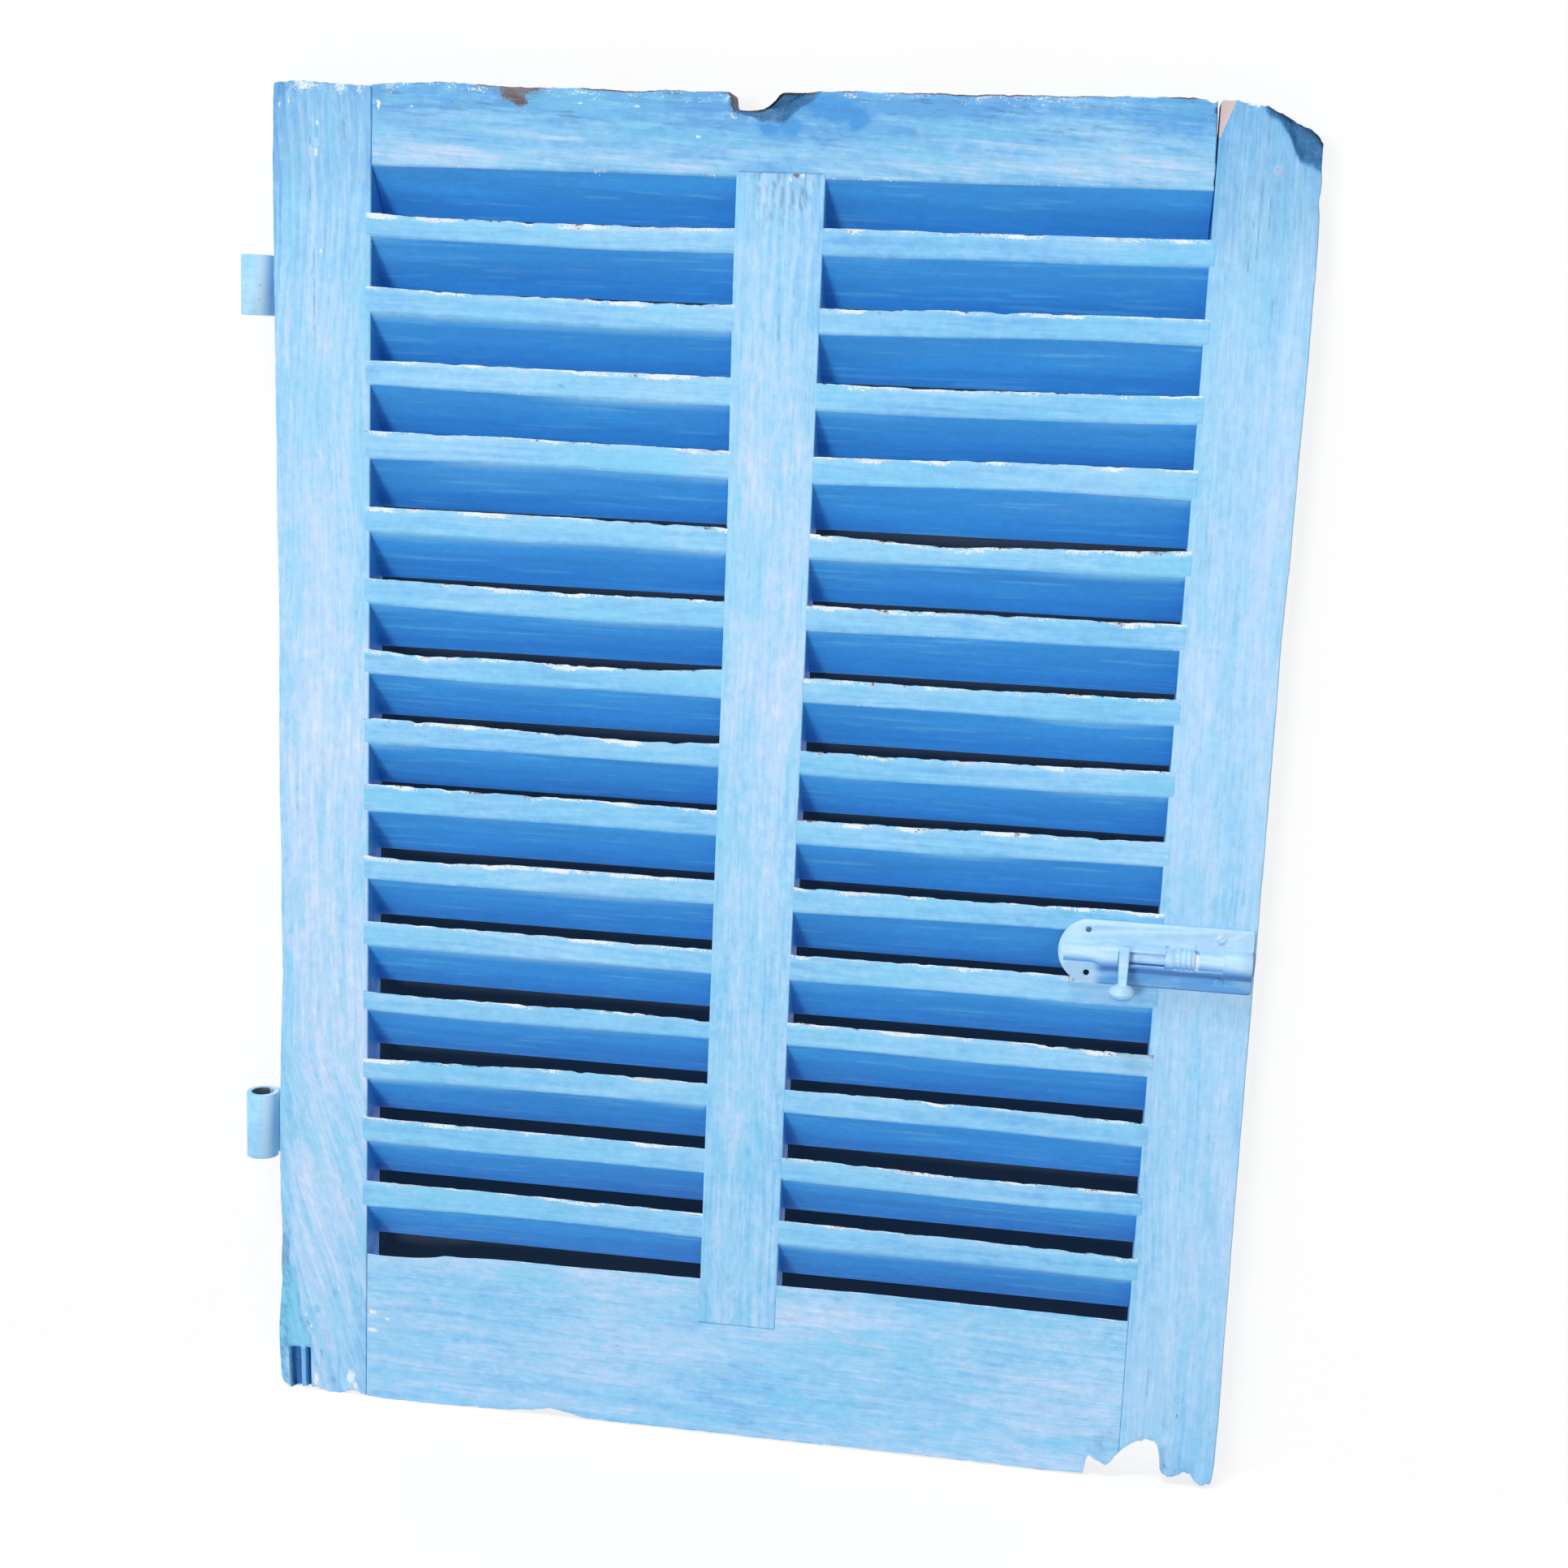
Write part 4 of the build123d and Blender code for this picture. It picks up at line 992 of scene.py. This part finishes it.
def buildSlat(side, number, bay):
    # z = base + belly + up * (edge + crown - belly) - depth * slope, with crown and belly fading out
    # to the rear; y gains a slow bow that is nothing at both ends
    key = f"{side}_{number:02d}"
    crown, belly = slatShapes[key]
    seed = 100 + number * 7 + (300 if side == "right" else 0)
    base = topRailLower - number * slatPitch
    low = np.array([bay[0] - housing, roomFace - slatPiece["proud"], 0.0])
    high = np.array([bay[1] + housing, outsideFace, slatEdge])
    board = Board(low, high, slatPiece)
    depth, marks, x, z = board.depth, board.marks, board.rest[:, 0], board.rest[:, 2]
    board.place = board.rest + [0, 0, base]
    share = (x - bay[0]) / (bay[1] - bay[0])
    up = z / slatEdge
    ragged = 0.45 * board.layers((7, 30, 30), seed) + 0.35 * board.layers((2.6, 9, 9), seed + 3)
    chipped = 1.6 * np.clip(board.layers((13, 9, 9), seed + 5, acrossOnly) - 0.15, 0, 1) / 0.85
    crownOff = throughPoints(crown, share) + ragged - chipped
    bellyOff = throughPoints(belly, share) + 0.25 * board.layers((11, 30, 30), seed + 9)
    forward = smoothStep(slatPiece["wearReach"], 0, depth)
    flat = bellyOff * forward + up * (slatEdge + (crownOff - bellyOff) * forward)
    # the acute crown breaks back: no point stands above a blunt top that falls slightly to the rear
    bluntTop = slatEdge + crownOff + 0.2 * ragged + depth * (slope - slatPiece["topFall"])
    broken = np.minimum(z + bellyOff * forward * (1 - up), bluntTop)
    board.points[:, 2] = base + np.where(crownOff < 0, broken, flat) - depth * slope
    bow = 0.5 * board.noise((90, 9, 9), seed + 11, acrossOnly)
    board.points[:, 1] += bow * smoothStep(0, 8, np.minimum(x - low[0], high[0] - x))
    board.level = board.points[:, 2] - topRailLower
    board.bleach()
    tone = -0.17 + 0.07 * randomAt(number, 3, 5, seed)
    marks["pale"] = tone + 0.10 * board.layers((70, 9, 14), seed + 17, faceOnly)
    marks["aqua"] = board.patchy(0.22, 0.22, (60, 9, 9), seed + 19, acrossOnly)
    fromCrown = base + slatEdge + crownOff - board.points[:, 2]
    worn = board.patchy(2.2, 1.9, (24, 9, 9), seed + 12, acrossOnly)
    atCrown = smoothStep(worn + 0.8, worn - 0.8, fromCrown) * smoothStep(6, 0, depth)
    marks["chalk"] = atCrown * board.patchy(0.52, 0.5, (17, 30, 30), seed + 13)
    # the band under the crown is paler: partly worn paint, partly a painted highlight where the crown catches
    # the light
    marks["pale"] += 0.22 * smoothStep(6.0, 1.0, fromCrown) * smoothStep(4, 0, depth)
    behindCrown = between(depth, 0.8, 2.2, 3.5, 6.5) * smoothStep(0.6, 0.9, up)
    marks["bare"] = behindCrown * board.patchy(0.45, 0.4, (14, 30, 30), seed + 15)
    board.wear("bare", atCrown * board.patchy(0.06, 0.46, (9, 30, 30), seed + 16))
    board.wear("fresh", atCrown * board.patchy(0.12, 0.46, (31, 30, 30), seed + 20))
    atBelly = smoothStep(1.2, 0.2, board.points[:, 2] - base - bellyOff) * smoothStep(2, 0, depth)
    board.wear("chalk", board.patchy(0.12, 0.2, (20, 30, 30), seed + 18) * atBelly)
    if key in slatPiece["strokes"]:
        marks["crackAndShade"] = board.strokes(slatPiece["strokes"][key]) * smoothStep(1.5, 0.3, depth)
    # painted shade: a dark spot on the slat behind the bolt plate's open screw hole
    if key in slatPiece["holeShadeSpots"]:
        board.wear("grimeAndShade", 0.9 * board.spots(slatPiece["holeShadeSpots"][key]))
    board.add(f"{side}_slat_{number:02d}", "slatWood", "painted_slat_wood")


for number in range(1, slatCount + 1):
    buildSlat("left", number, leftBay)
    buildSlat("right", number, rightBay)
print("stage: slats made")

# Pegs: turned rods through the stiles, slightly domed where they stand proud of each face

pegLook = {"radius": 4.0, "proud": 0.2, "around": 40, "shoulder": 0.2}
pegMarks = {
    "top_left_peg": {"chalk": 0.30, "pale": 0.05},
    "bottom_left_peg": {"chalk": 0.20, "grimeAndShade": 0.12, "pale": 0.05},
    "top_right_peg": {"fresh": 0.45, "grimeAndShade": 0.16, "pale": -0.3},
    "bottom_right_peg": {"fresh": 0.15, "grimeAndShade": 0.06, "pale": -0.1},
}


def turnedShell(radii, heights, centre, around):
    # a profile turned about an upright line: rings of radius r at height h, closed by two poles
    angle = np.linspace(0, 2 * np.pi, around, endpoint=False)
    ring = np.stack([np.cos(angle), np.zeros(around), np.sin(angle)], -1)
    rows = [ring * r + [0, h, 0] for r, h in zip(radii[1:-1], heights[1:-1])]
    points = np.concatenate([[[0, heights[0], 0]], *rows, [[0, heights[-1], 0]]]) + centre
    lastRing = 1 + (len(rows) - 1) * around
    caps = poleFaces(0, 1, around) + poleFaces(len(points) - 1, lastRing, around)
    return points, ringFaces(len(rows), around, 1) + caps


def ringFaces(rings, around, start):
    # the quads between one ring and the next
    here, after = np.arange(around), (np.arange(around) + 1) % around
    rows = start + np.arange(rings - 1) * around
    quads = [np.stack([s + here, s + after, s + around + after, s + around + here], -1) for s in rows]
    return np.concatenate(quads).tolist()


def poleFaces(pole, start, around):
    # the triangles from a pole to each pair of neighbours on its ring
    here, after = np.arange(around), (np.arange(around) + 1) % around
    return np.stack([np.full(around, pole), start + here, start + after], -1).tolist()


def meshOf(name, points, faces):
    mesh = bpy.data.meshes.new(name)
    mesh.from_pydata((points * milli).tolist(), [], faces)
    turnOutward(mesh)
    return mesh


def turnOutward(mesh):
    solid = bmesh.new()
    solid.from_mesh(mesh)
    bmesh.ops.recalc_face_normals(solid, faces=solid.faces)
    solid.to_mesh(mesh)
    solid.free()


def buildPeg(node, given):
    # a rod's profile: nearly flat domes at 1, 0.95 and 0.7 of the rise, and shoulders just inside the wood
    low, high = boxMm(node)
    centre = np.array([(low[0] + high[0]) / 2, 0, (low[2] + high[2]) / 2])
    rise = pegLook["proud"] * np.array([1, 0.95, 0.7])
    shoulders = [roomFace + pegLook["shoulder"], outsideFace - pegLook["shoulder"]]
    heights = np.concatenate([roomFace - rise, shoulders, outsideFace + rise[::-1]])
    radii = pegLook["radius"] * np.array([0, 0.5, 0.85, 1, 1, 0.85, 0.5, 0])
    points, faces = turnedShell(radii, heights, centre, pegLook["around"])
    middle = np.hypot(*(points - centre)[:, (0, 2)].T) / pegLook["radius"]
    share = smoothStep(1.0, 0.4, middle + 0.5 * softNoise(points, (2.5, 9, 3), 91))
    marks = {key: given.get(key, 0.0) * share for key in markNames}
    marks.update(sun=np.ones(len(points)), pale=np.full(len(points), given["pale"]))
    mesh = meshOf(f"{node}_wood", points, faces)
    writeMarks(mesh, marks)
    wood = woods["hingeStileWood" if "left" in node else "lockStileWood"]
    addObject(f"{node}_wood", mesh, wood, replaced=node)


for node, given in pegMarks.items():
    buildPeg(node, given)
print("stage: pegs made")

# Iron parts: the CAD shapes with their arrises eased, under thick brushed paint

ironLooks = {
    "hingePaint": {
        "paint": rgb(0.30, 0.64, 0.93), "pale": rgb(0.42, 0.74, 0.96), "shade": rgb(0.20, 0.52, 0.86),
        "worn": rgb(0.20, 0.14, 0.11), "paintedShadeBeneath": 0.3, "chipAt": 0.635, "roughness": (0.38, 0.56),
    },
    "boltPaint": {
        "paint": rgb(0.41, 0.66, 0.91), "pale": rgb(0.49, 0.73, 0.94), "shade": rgb(0.27, 0.57, 0.87),
        "worn": rgb(0.30, 0.34, 0.40), "paintedShadeBeneath": 1.0, "chipAt": 0.66, "roughness": (0.36, 0.54),
    },
    "rodPaint": {
        "paint": rgb(0.40, 0.68, 0.94), "pale": rgb(0.52, 0.76, 0.96), "shade": rgb(0.22, 0.50, 0.84),
        "worn": rgb(0.42, 0.44, 0.48), "paintedShadeBeneath": 0.9, "chipAt": 0.645, "roughness": (0.30, 0.48),
    },
}
ironShades = {
    "paintedShadeBeneath": rgb(0.095, 0.330, 0.740), "eyeSideHighlight": rgb(0.66, 0.86, 0.98), "boreShade": rgb(0.035, 0.055, 0.070),
    "barrelShadow": rgb(0.110, 0.380, 0.780), "barrelShadowLine": rgb(0.040, 0.150, 0.380),
    "nose": rgb(0.050, 0.060, 0.070), "rodHighlight": rgb(0.80, 0.86, 0.90),
}
boltBands = {
    "under": (-23.4, -8.6, 0.9), "line": (-13.6, -10.0, 1.0), "foot": (1.3, 0.4),
    "barrelFrom": (24, 34), "nose": (-1.6, -0.3), "rodHighlight": (96.6, 100.4, 0.5),
}
plateLow, plateHigh = boxMm("bolt_plate")
boltLevel = 0.5 * (plateLow[2] + plateHigh[2])
plateThickness = 2
plateFace = roomFace - plateThickness


# Each shading gets the colour so far, the place along X, Y and Z, and the place that the brush marks read
def shadeHinge(colour, x, y, z, brushed):
    # painted highlight on the eye's side, and painted shade in its bore
    side = x.spreadMm(0.0, 8.0) * x.spreadMm(24.0, 18.0)
    colour = (side * 0.75).blend(colour, ironShades["eyeSideHighlight"])
    radial = (x * x + y * y).calc("SQRT")
    return radial.spreadMm(8.9, 8.5, 0.0, 0.9).blend(colour, ironShades["boreShade"])


def shadeBolt(colour, x, y, z, brushed):
    # painted shadow: the plate below the barrels is darker where their shadow falls, with painted shadow
    # lines along them and along the plate's foot, and a dark nose
    low, high, soft = boltBands["under"]
    onBarrel = [plateLow[0] + start for start in boltBands["barrelFrom"]]
    under = z.bandMm(boltLevel + low, boltLevel + high, soft) * x.spreadMm(*onBarrel)
    under = under * y.spreadMm(plateFace - 2.2, plateFace - 1.5)
    paler = brushed.noise(210.0, 3.0).spread(0.46, 0.68, 1.0, 0.62)
    colour = (under * paler).blend(colour, ironShades["barrelShadow"])
    low, high, soft = boltBands["line"]
    foot = z.spreadMm(*(plateLow[2] + rise for rise in boltBands["foot"]))
    lines = z.bandMm(boltLevel + low, boltLevel + high, soft) + foot
    colour = (lines * x.spreadMm(*onBarrel) * 0.85).blend(colour, ironShades["barrelShadowLine"])
    nose = x.spreadMm(*(plateHigh[0] + start for start in boltBands["nose"]))
    nose = nose * y.spreadMm(plateFace + 0.2, plateFace - 1.0)
    return (nose * 0.8).blend(colour, ironShades["nose"])


def shadeRod(colour, x, y, z, brushed):
    # a bright band between the bridge and the front barrel: bare metal with a painted highlight
    low, high, soft = boltBands["rodHighlight"]
    bright = x.bandMm(plateLow[0] + low, plateLow[0] + high, soft)
    return (bright * 0.8).blend(colour, ironShades["rodHighlight"])


ironShading = {"hingePaint": shadeHinge, "boltPaint": shadeBolt, "rodPaint": shadeRod}


def ironMaterial(name, look):
    material, tree = newMaterial(name)
    place = wire(tree, "ShaderNodeTexCoord", None, "Object")
    broad = place.noise(60.0, 4.0, 0.6)
    fine = place.noise(520.0, 4.0, 0.6)
    brushed = place.mapped(Scale=(0.15, 1.0, 1.0))
    brush = brushed.noise(300.0, 3.0)
    upward = wire(tree, "ShaderNodeNewGeometry", None, "Normal").split()[2]
    colour = broad.spread(0.36, 0.64).blend(look["paint"], look["pale"])
    colour = brush.spread(0.50, 0.74, 0.0, 0.45).blend(colour, look["shade"])
    # painted shade: faces turned downward get a deeper blue
    colour = upward.spread(-0.90, -0.05, look["paintedShadeBeneath"], 0.0).blend(colour, ironShades["paintedShadeBeneath"])
    colour = ironShading[name](colour, *place.split(), brushed)
    chip = (broad * 0.5 + fine * 0.5).spread(look["chipAt"], look["chipAt"] + 0.05)
    colour = chip.blend(colour, look["worn"])
    roughness = broad.spread(0.3, 0.7, *look["roughness"])
    coatWith(tree, colour, roughness, brush * 0.6 + fine * 0.25 - chip * 0.4, 0.0003, 0.4, 0.45)
    return material


irons = {name: ironMaterial(name, look) for name, look in ironLooks.items()}
hingeIron = {"paint": "hingePaint", "ease": 0.5, "slot": "painted_hinge_iron", "body": "leaf"}
easing = {"doubles": 2e-6, "flatWithin": 0.6, "sharpOver": 32, "segments": 2}
ironPieces = {
    "upper_hinge": hingeIron,
    "lower_hinge": hingeIron,
    "bolt_plate": {"paint": "boltPaint", "ease": 0.35, "slot": "painted_bolt_iron", "body": "leaf"},
    "bolt_rod": {"paint": "rodPaint", "ease": 0.25, "slot": "worn_bolt_iron", "body": "bolt"},
    "bolt_handle": {"paint": "rodPaint", "ease": 0.35, "slot": "worn_bolt_iron", "body": "bolt"},
}


def easeArrises(node, look):
    # a copy of the CAD solid with its flat triangles joined, so that a small bevel can round its arrises
    mesh = bpy.data.meshes.new(f"{node}_iron")
    solid = bmesh.new()
    solid.from_mesh(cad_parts[node].data)
    bmesh.ops.remove_doubles(solid, verts=solid.verts, dist=easing["doubles"])
    flat = math.radians(easing["flatWithin"])
    bmesh.ops.dissolve_limit(solid, angle_limit=flat, verts=solid.verts, edges=solid.edges)
    bmesh.ops.recalc_face_normals(solid, faces=solid.faces)
    solid.to_mesh(mesh)
    solid.free()
    piece = addObject(f"{node}_iron", mesh, irons[look["paint"]], look["body"], node)
    bevel = piece.modifiers.new("easedArris", "BEVEL")
    bevel.width = look["ease"] * milli
    bevel.segments = easing["segments"]
    bevel.limit_method = "ANGLE"
    bevel.angle_limit = math.radians(easing["sharpOver"])
    bevel.use_clamp_overlap = True
    bevel.harden_normals = True


for node, look in ironPieces.items():
    easeArrises(node, look)

# Screws: domed heads with a shallow slot, painted over with the iron
screwLooks = {
    "bolt": {"radius": 3.9, "dome": 1.0, "slotWide": 0.8, "slotDeep": 0.35, "iron": "bolt_plate"},
    "hinge": {"radius": 4.6, "dome": 1.3, "slotWide": 0.9, "slotDeep": 0.7, "iron": "upper_hinge"},
    "rings": 14, "around": 56, "lift": 0.25, "sunk": 0.4,
}
screwPlaces = {"boltAlong": 115, "boltRise": 16, "hingeAlong": (11, 47), "hingeEdge": 10}


def addScrew(name, kind, x, z, face, outward, turn):
    # a dome h = dome (1 - (r/R)^2) on rings of radius r, less the slot's depth where the distance
    # to its line is small
    look, rings, around = screwLooks[kind], screwLooks["rings"], screwLooks["around"]
    lift, sunk = screwLooks["lift"], outward * screwLooks["sunk"]
    share = np.linspace(0, 1, rings + 1)[1:]
    angle = np.linspace(0, 2 * np.pi, around, endpoint=False)
    u = np.outer(share, np.cos(angle)) * look["radius"]
    v = np.outer(share, np.sin(angle)) * look["radius"]
    side = np.abs(u * math.sin(turn) - v * math.cos(turn))
    rise = look["dome"] * (1 - share[:, None] ** 2) + lift
    rise = rise - look["slotDeep"] * smoothStep(look["slotWide"], 0.5 * look["slotWide"], side)
    top = np.stack([u, outward * rise, v], -1).reshape(-1, 3)
    rim = top[-around:] * [1, 0, 1] - [0, sunk, 0]
    middle = [[0, outward * (look["dome"] + lift - look["slotDeep"]), 0]]
    points = np.concatenate([middle, top, rim, [[0, -sunk, 0]]]) + [x, face, z]
    faces = ringFaces(rings + 1, around, 1) + poleFaces(0, 1, around)
    faces += poleFaces(len(points) - 1, 1 + rings * around, around)
    iron = ironPieces[look["iron"]]
    addObject(name, meshOf(name, points, faces), irons[iron["paint"]])


for number, side in ((1, 1), (2, -1)):
    x, z = plateLow[0] + screwPlaces["boltAlong"], boltLevel + side * screwPlaces["boltRise"]
    addScrew(f"bolt_screw_{number}", "bolt", x, z, plateFace, -1, 0.6 * number)
for hinge, firstTurn in (("upper", 0), ("lower", 0.5)):
    low, high = boxMm(f"{hinge}_hinge")
    near, far = (leafLeft + place for place in screwPlaces["hingeAlong"])
    edge = screwPlaces["hingeEdge"]
    places = [(near, low[2] + edge), (near, high[2] - edge), (far, 0.5 * (low[2] + high[2]))]
    for number, (x, z) in enumerate(places, start=1):
        addScrew(f"{hinge}_hinge_screw_{number}", "hinge", x, z, high[1], 1, 0.9 * number + firstTurn)
print("stage: iron made")

# Stage: a pale floor and a pale wall, both seen only from their front. Close behind the leaf a near-black
# card is a painted shade and shows all its own shade; elsewhere wall and floor show a share of their shade
# over white
stageSet = {
    "wallGap": 4.0, "half": 9.0, "floorGap": 1.0, "floorShown": 0.24, "wallShown": 0.16, "floorLift": 0.24,
    "floorPaint": rgb(0.97, 0.97, 0.97), "wallPaint": rgb(0.97, 0.97, 0.97),
    "shadeCardPaint": rgb(0.050, 0.060, 0.085), "floorBounce": rgb(0.85, 0.85, 0.85),
    "glow": rgb(1.0, 0.99, 0.97), "behindLeaf": {"side": 20, "foot": 20, "head": 30, "ahead": 1},
}


def stageMaterial(name, shown, bounces=None, lift=0.0):
    # to the camera, the share shown is this surface and the rest is the white behind it;
    # without a bounce colour all other rays pass through
    material, tree = newMaterial(name)
    clear = wire(tree, "ShaderNodeBsdfTransparent")
    seen = wire(tree, "ShaderNodeLightPath", None, "Is Camera Ray")
    hidden = wire(tree, "ShaderNodeNewGeometry", None, "Backfacing").calc("MAXIMUM", 1.0 - shown)
    if bounces:
        hidden = seen * hidden
    else:
        hidden = hidden.calc("MAXIMUM", 1.0 - seen)
    toCamera = wire(tree, "ShaderNodeBsdfDiffuse", {"Color": stageSet[name]})
    if lift:
        glow = wire(tree, "ShaderNodeEmission", {"Color": stageSet["glow"], "Strength": lift})
        toCamera = wire(tree, "ShaderNodeAddShader", {0: toCamera, 1: glow})
    toOthers = wire(tree, "ShaderNodeBsdfDiffuse", {"Color": bounces or stageSet[name]})
    diffuse = wire(tree, "ShaderNodeMixShader", {0: seen, 1: toOthers, 2: toCamera})
    closeWith(tree, wire(tree, "ShaderNodeMixShader", {0: hidden, 1: diffuse, 2: clear}))
    return material


def stageSheet(name, xs, ys, zs, material):
    # a rectangle in metres that runs along X, and from the first (y, z) to the second
    mesh = bpy.data.meshes.new(name)
    corners = [(xs[i], ys[j], zs[j]) for i, j in ((0, 0), (1, 0), (1, 1), (0, 1))]
    mesh.from_pydata(corners, [], [(0, 1, 2, 3)])
    mesh.materials.append(material)
    sheet = bpy.data.objects.new(name, mesh)
    bpy.context.scene.collection.objects.link(sheet)


floorLevel = (leafBottom - stageSet["floorGap"]) * milli
cardPlace = (boxMm("upper_hinge")[1][1] + stageSet["wallGap"]) * milli
cardEdges = stageSet["behindLeaf"]
wallPlace = cardPlace + cardEdges["ahead"] * milli
half = stageSet["half"]
cardXs = ((leafLeft + cardEdges["side"]) * milli, (leafRight - cardEdges["side"]) * milli)
cardZs = ((leafBottom + cardEdges["foot"]) * milli, (leafTop - cardEdges["head"]) * milli)
floorMaterial = stageMaterial(
    "floorPaint", stageSet["floorShown"], stageSet["floorBounce"], stageSet["floorLift"]
)
wallMaterial = stageMaterial("wallPaint", stageSet["wallShown"])
stageSheet("floor", (-half, half), (-half, wallPlace), (floorLevel, floorLevel), floorMaterial)
stageSheet("wall", (-half, half), (wallPlace, wallPlace), (floorLevel, half), wallMaterial)
stageSheet("shade_card_behind_leaf", cardXs, (cardPlace, cardPlace), cardZs, stageMaterial("shadeCardPaint", 1.0))

# Light: a broad soft light from the left at the leaf's height, a smaller one high up, and an even pale room
lamps = {
    "broadLight": {"strength": 1.50, "spread": 14, "azimuth": 20, "elevation": 2.5},
    "highLight": {"strength": 1.72, "spread": 14, "azimuth": 35, "elevation": 68},
}
room = {"strength": 0.17, "behind": 0.85, "behindFrom": (0.1, 0.6), "behindAbove": (-0.05, 0.15)}
white = rgb(1.0, 1.0, 1.0)


def sunLight(name, look):
    data = bpy.data.lights.new(name, "SUN")
    data.energy = look["strength"]
    data.angle = math.radians(look["spread"])
    lamp = bpy.data.objects.new(name, data)
    bpy.context.scene.collection.objects.link(lamp)
    side, rise = math.radians(look["azimuth"]), math.radians(look["elevation"])
    comesFrom = Vector((-math.sin(side) * math.cos(rise), -math.cos(side) * math.cos(rise), math.sin(rise)))
    lamp.rotation_mode = "QUATERNION"
    lamp.rotation_quaternion = comesFrom.to_track_quat("Z", "Y")


def lightRoom():
    # the room is white to the camera and in reflections, and lights the leaf's back from the upper rear
    world = bpy.data.worlds.new("room")
    bpy.context.scene.world = world
    world.use_nodes = True
    sky = world.node_tree
    sky.nodes.clear()
    y, z = wire(sky, "ShaderNodeTexCoord", None, "Generated").split()[1:]
    behind = y.spread(*room["behindFrom"]) * z.spread(*room["behindAbove"])
    strength = behind * room["behind"] + room["strength"]
    light = wire(sky, "ShaderNodeBackground", {"Color": white, "Strength": strength})
    shown = wire(sky, "ShaderNodeBackground", {"Color": white, "Strength": 1.0})
    path = newNode(sky, "ShaderNodeLightPath").outputs
    kinds = ("Camera", "Glossy", "Transmission")
    toCamera, glossy, through = (Wire(sky, path[f"Is {kind} Ray"]) for kind in kinds)
    seen = toCamera.calc("MAXIMUM", glossy).calc("MAXIMUM", through)
    closeWith(sky, wire(sky, "ShaderNodeMixShader", {0: seen, 1: light, 2: shown}), "ShaderNodeOutputWorld")


for name, look in lamps.items():
    sunLight(name, look)
lightRoom()

# Camera of the photograph, its lens and place solved from the leaf's four sides and the slats' rows
photoCamera = {
    "sensor": 36, "lens": 50.39, "clip": (0.05, 100),
    "place": (
        (0.98784223, -0.06851791, 0.13954581, 0.62842),
        (0.15005612, 0.18564470, -0.97109176, -1.56781),
        (0.04063123, 0.98022515, 0.19366920, 0.63872),
        (0, 0, 0, 1),
    ),
}
cameraData = bpy.data.cameras.new("camera")
cameraData.sensor_width = photoCamera["sensor"]
cameraData.lens = photoCamera["lens"]
cameraData.clip_start, cameraData.clip_end = photoCamera["clip"]
camera = bpy.data.objects.new("camera", cameraData)
bpy.context.scene.collection.objects.link(camera)
camera.matrix_world = Matrix(photoCamera["place"])
bpy.context.scene.camera = camera
bpy.context.scene.view_settings.view_transform = "Standard"
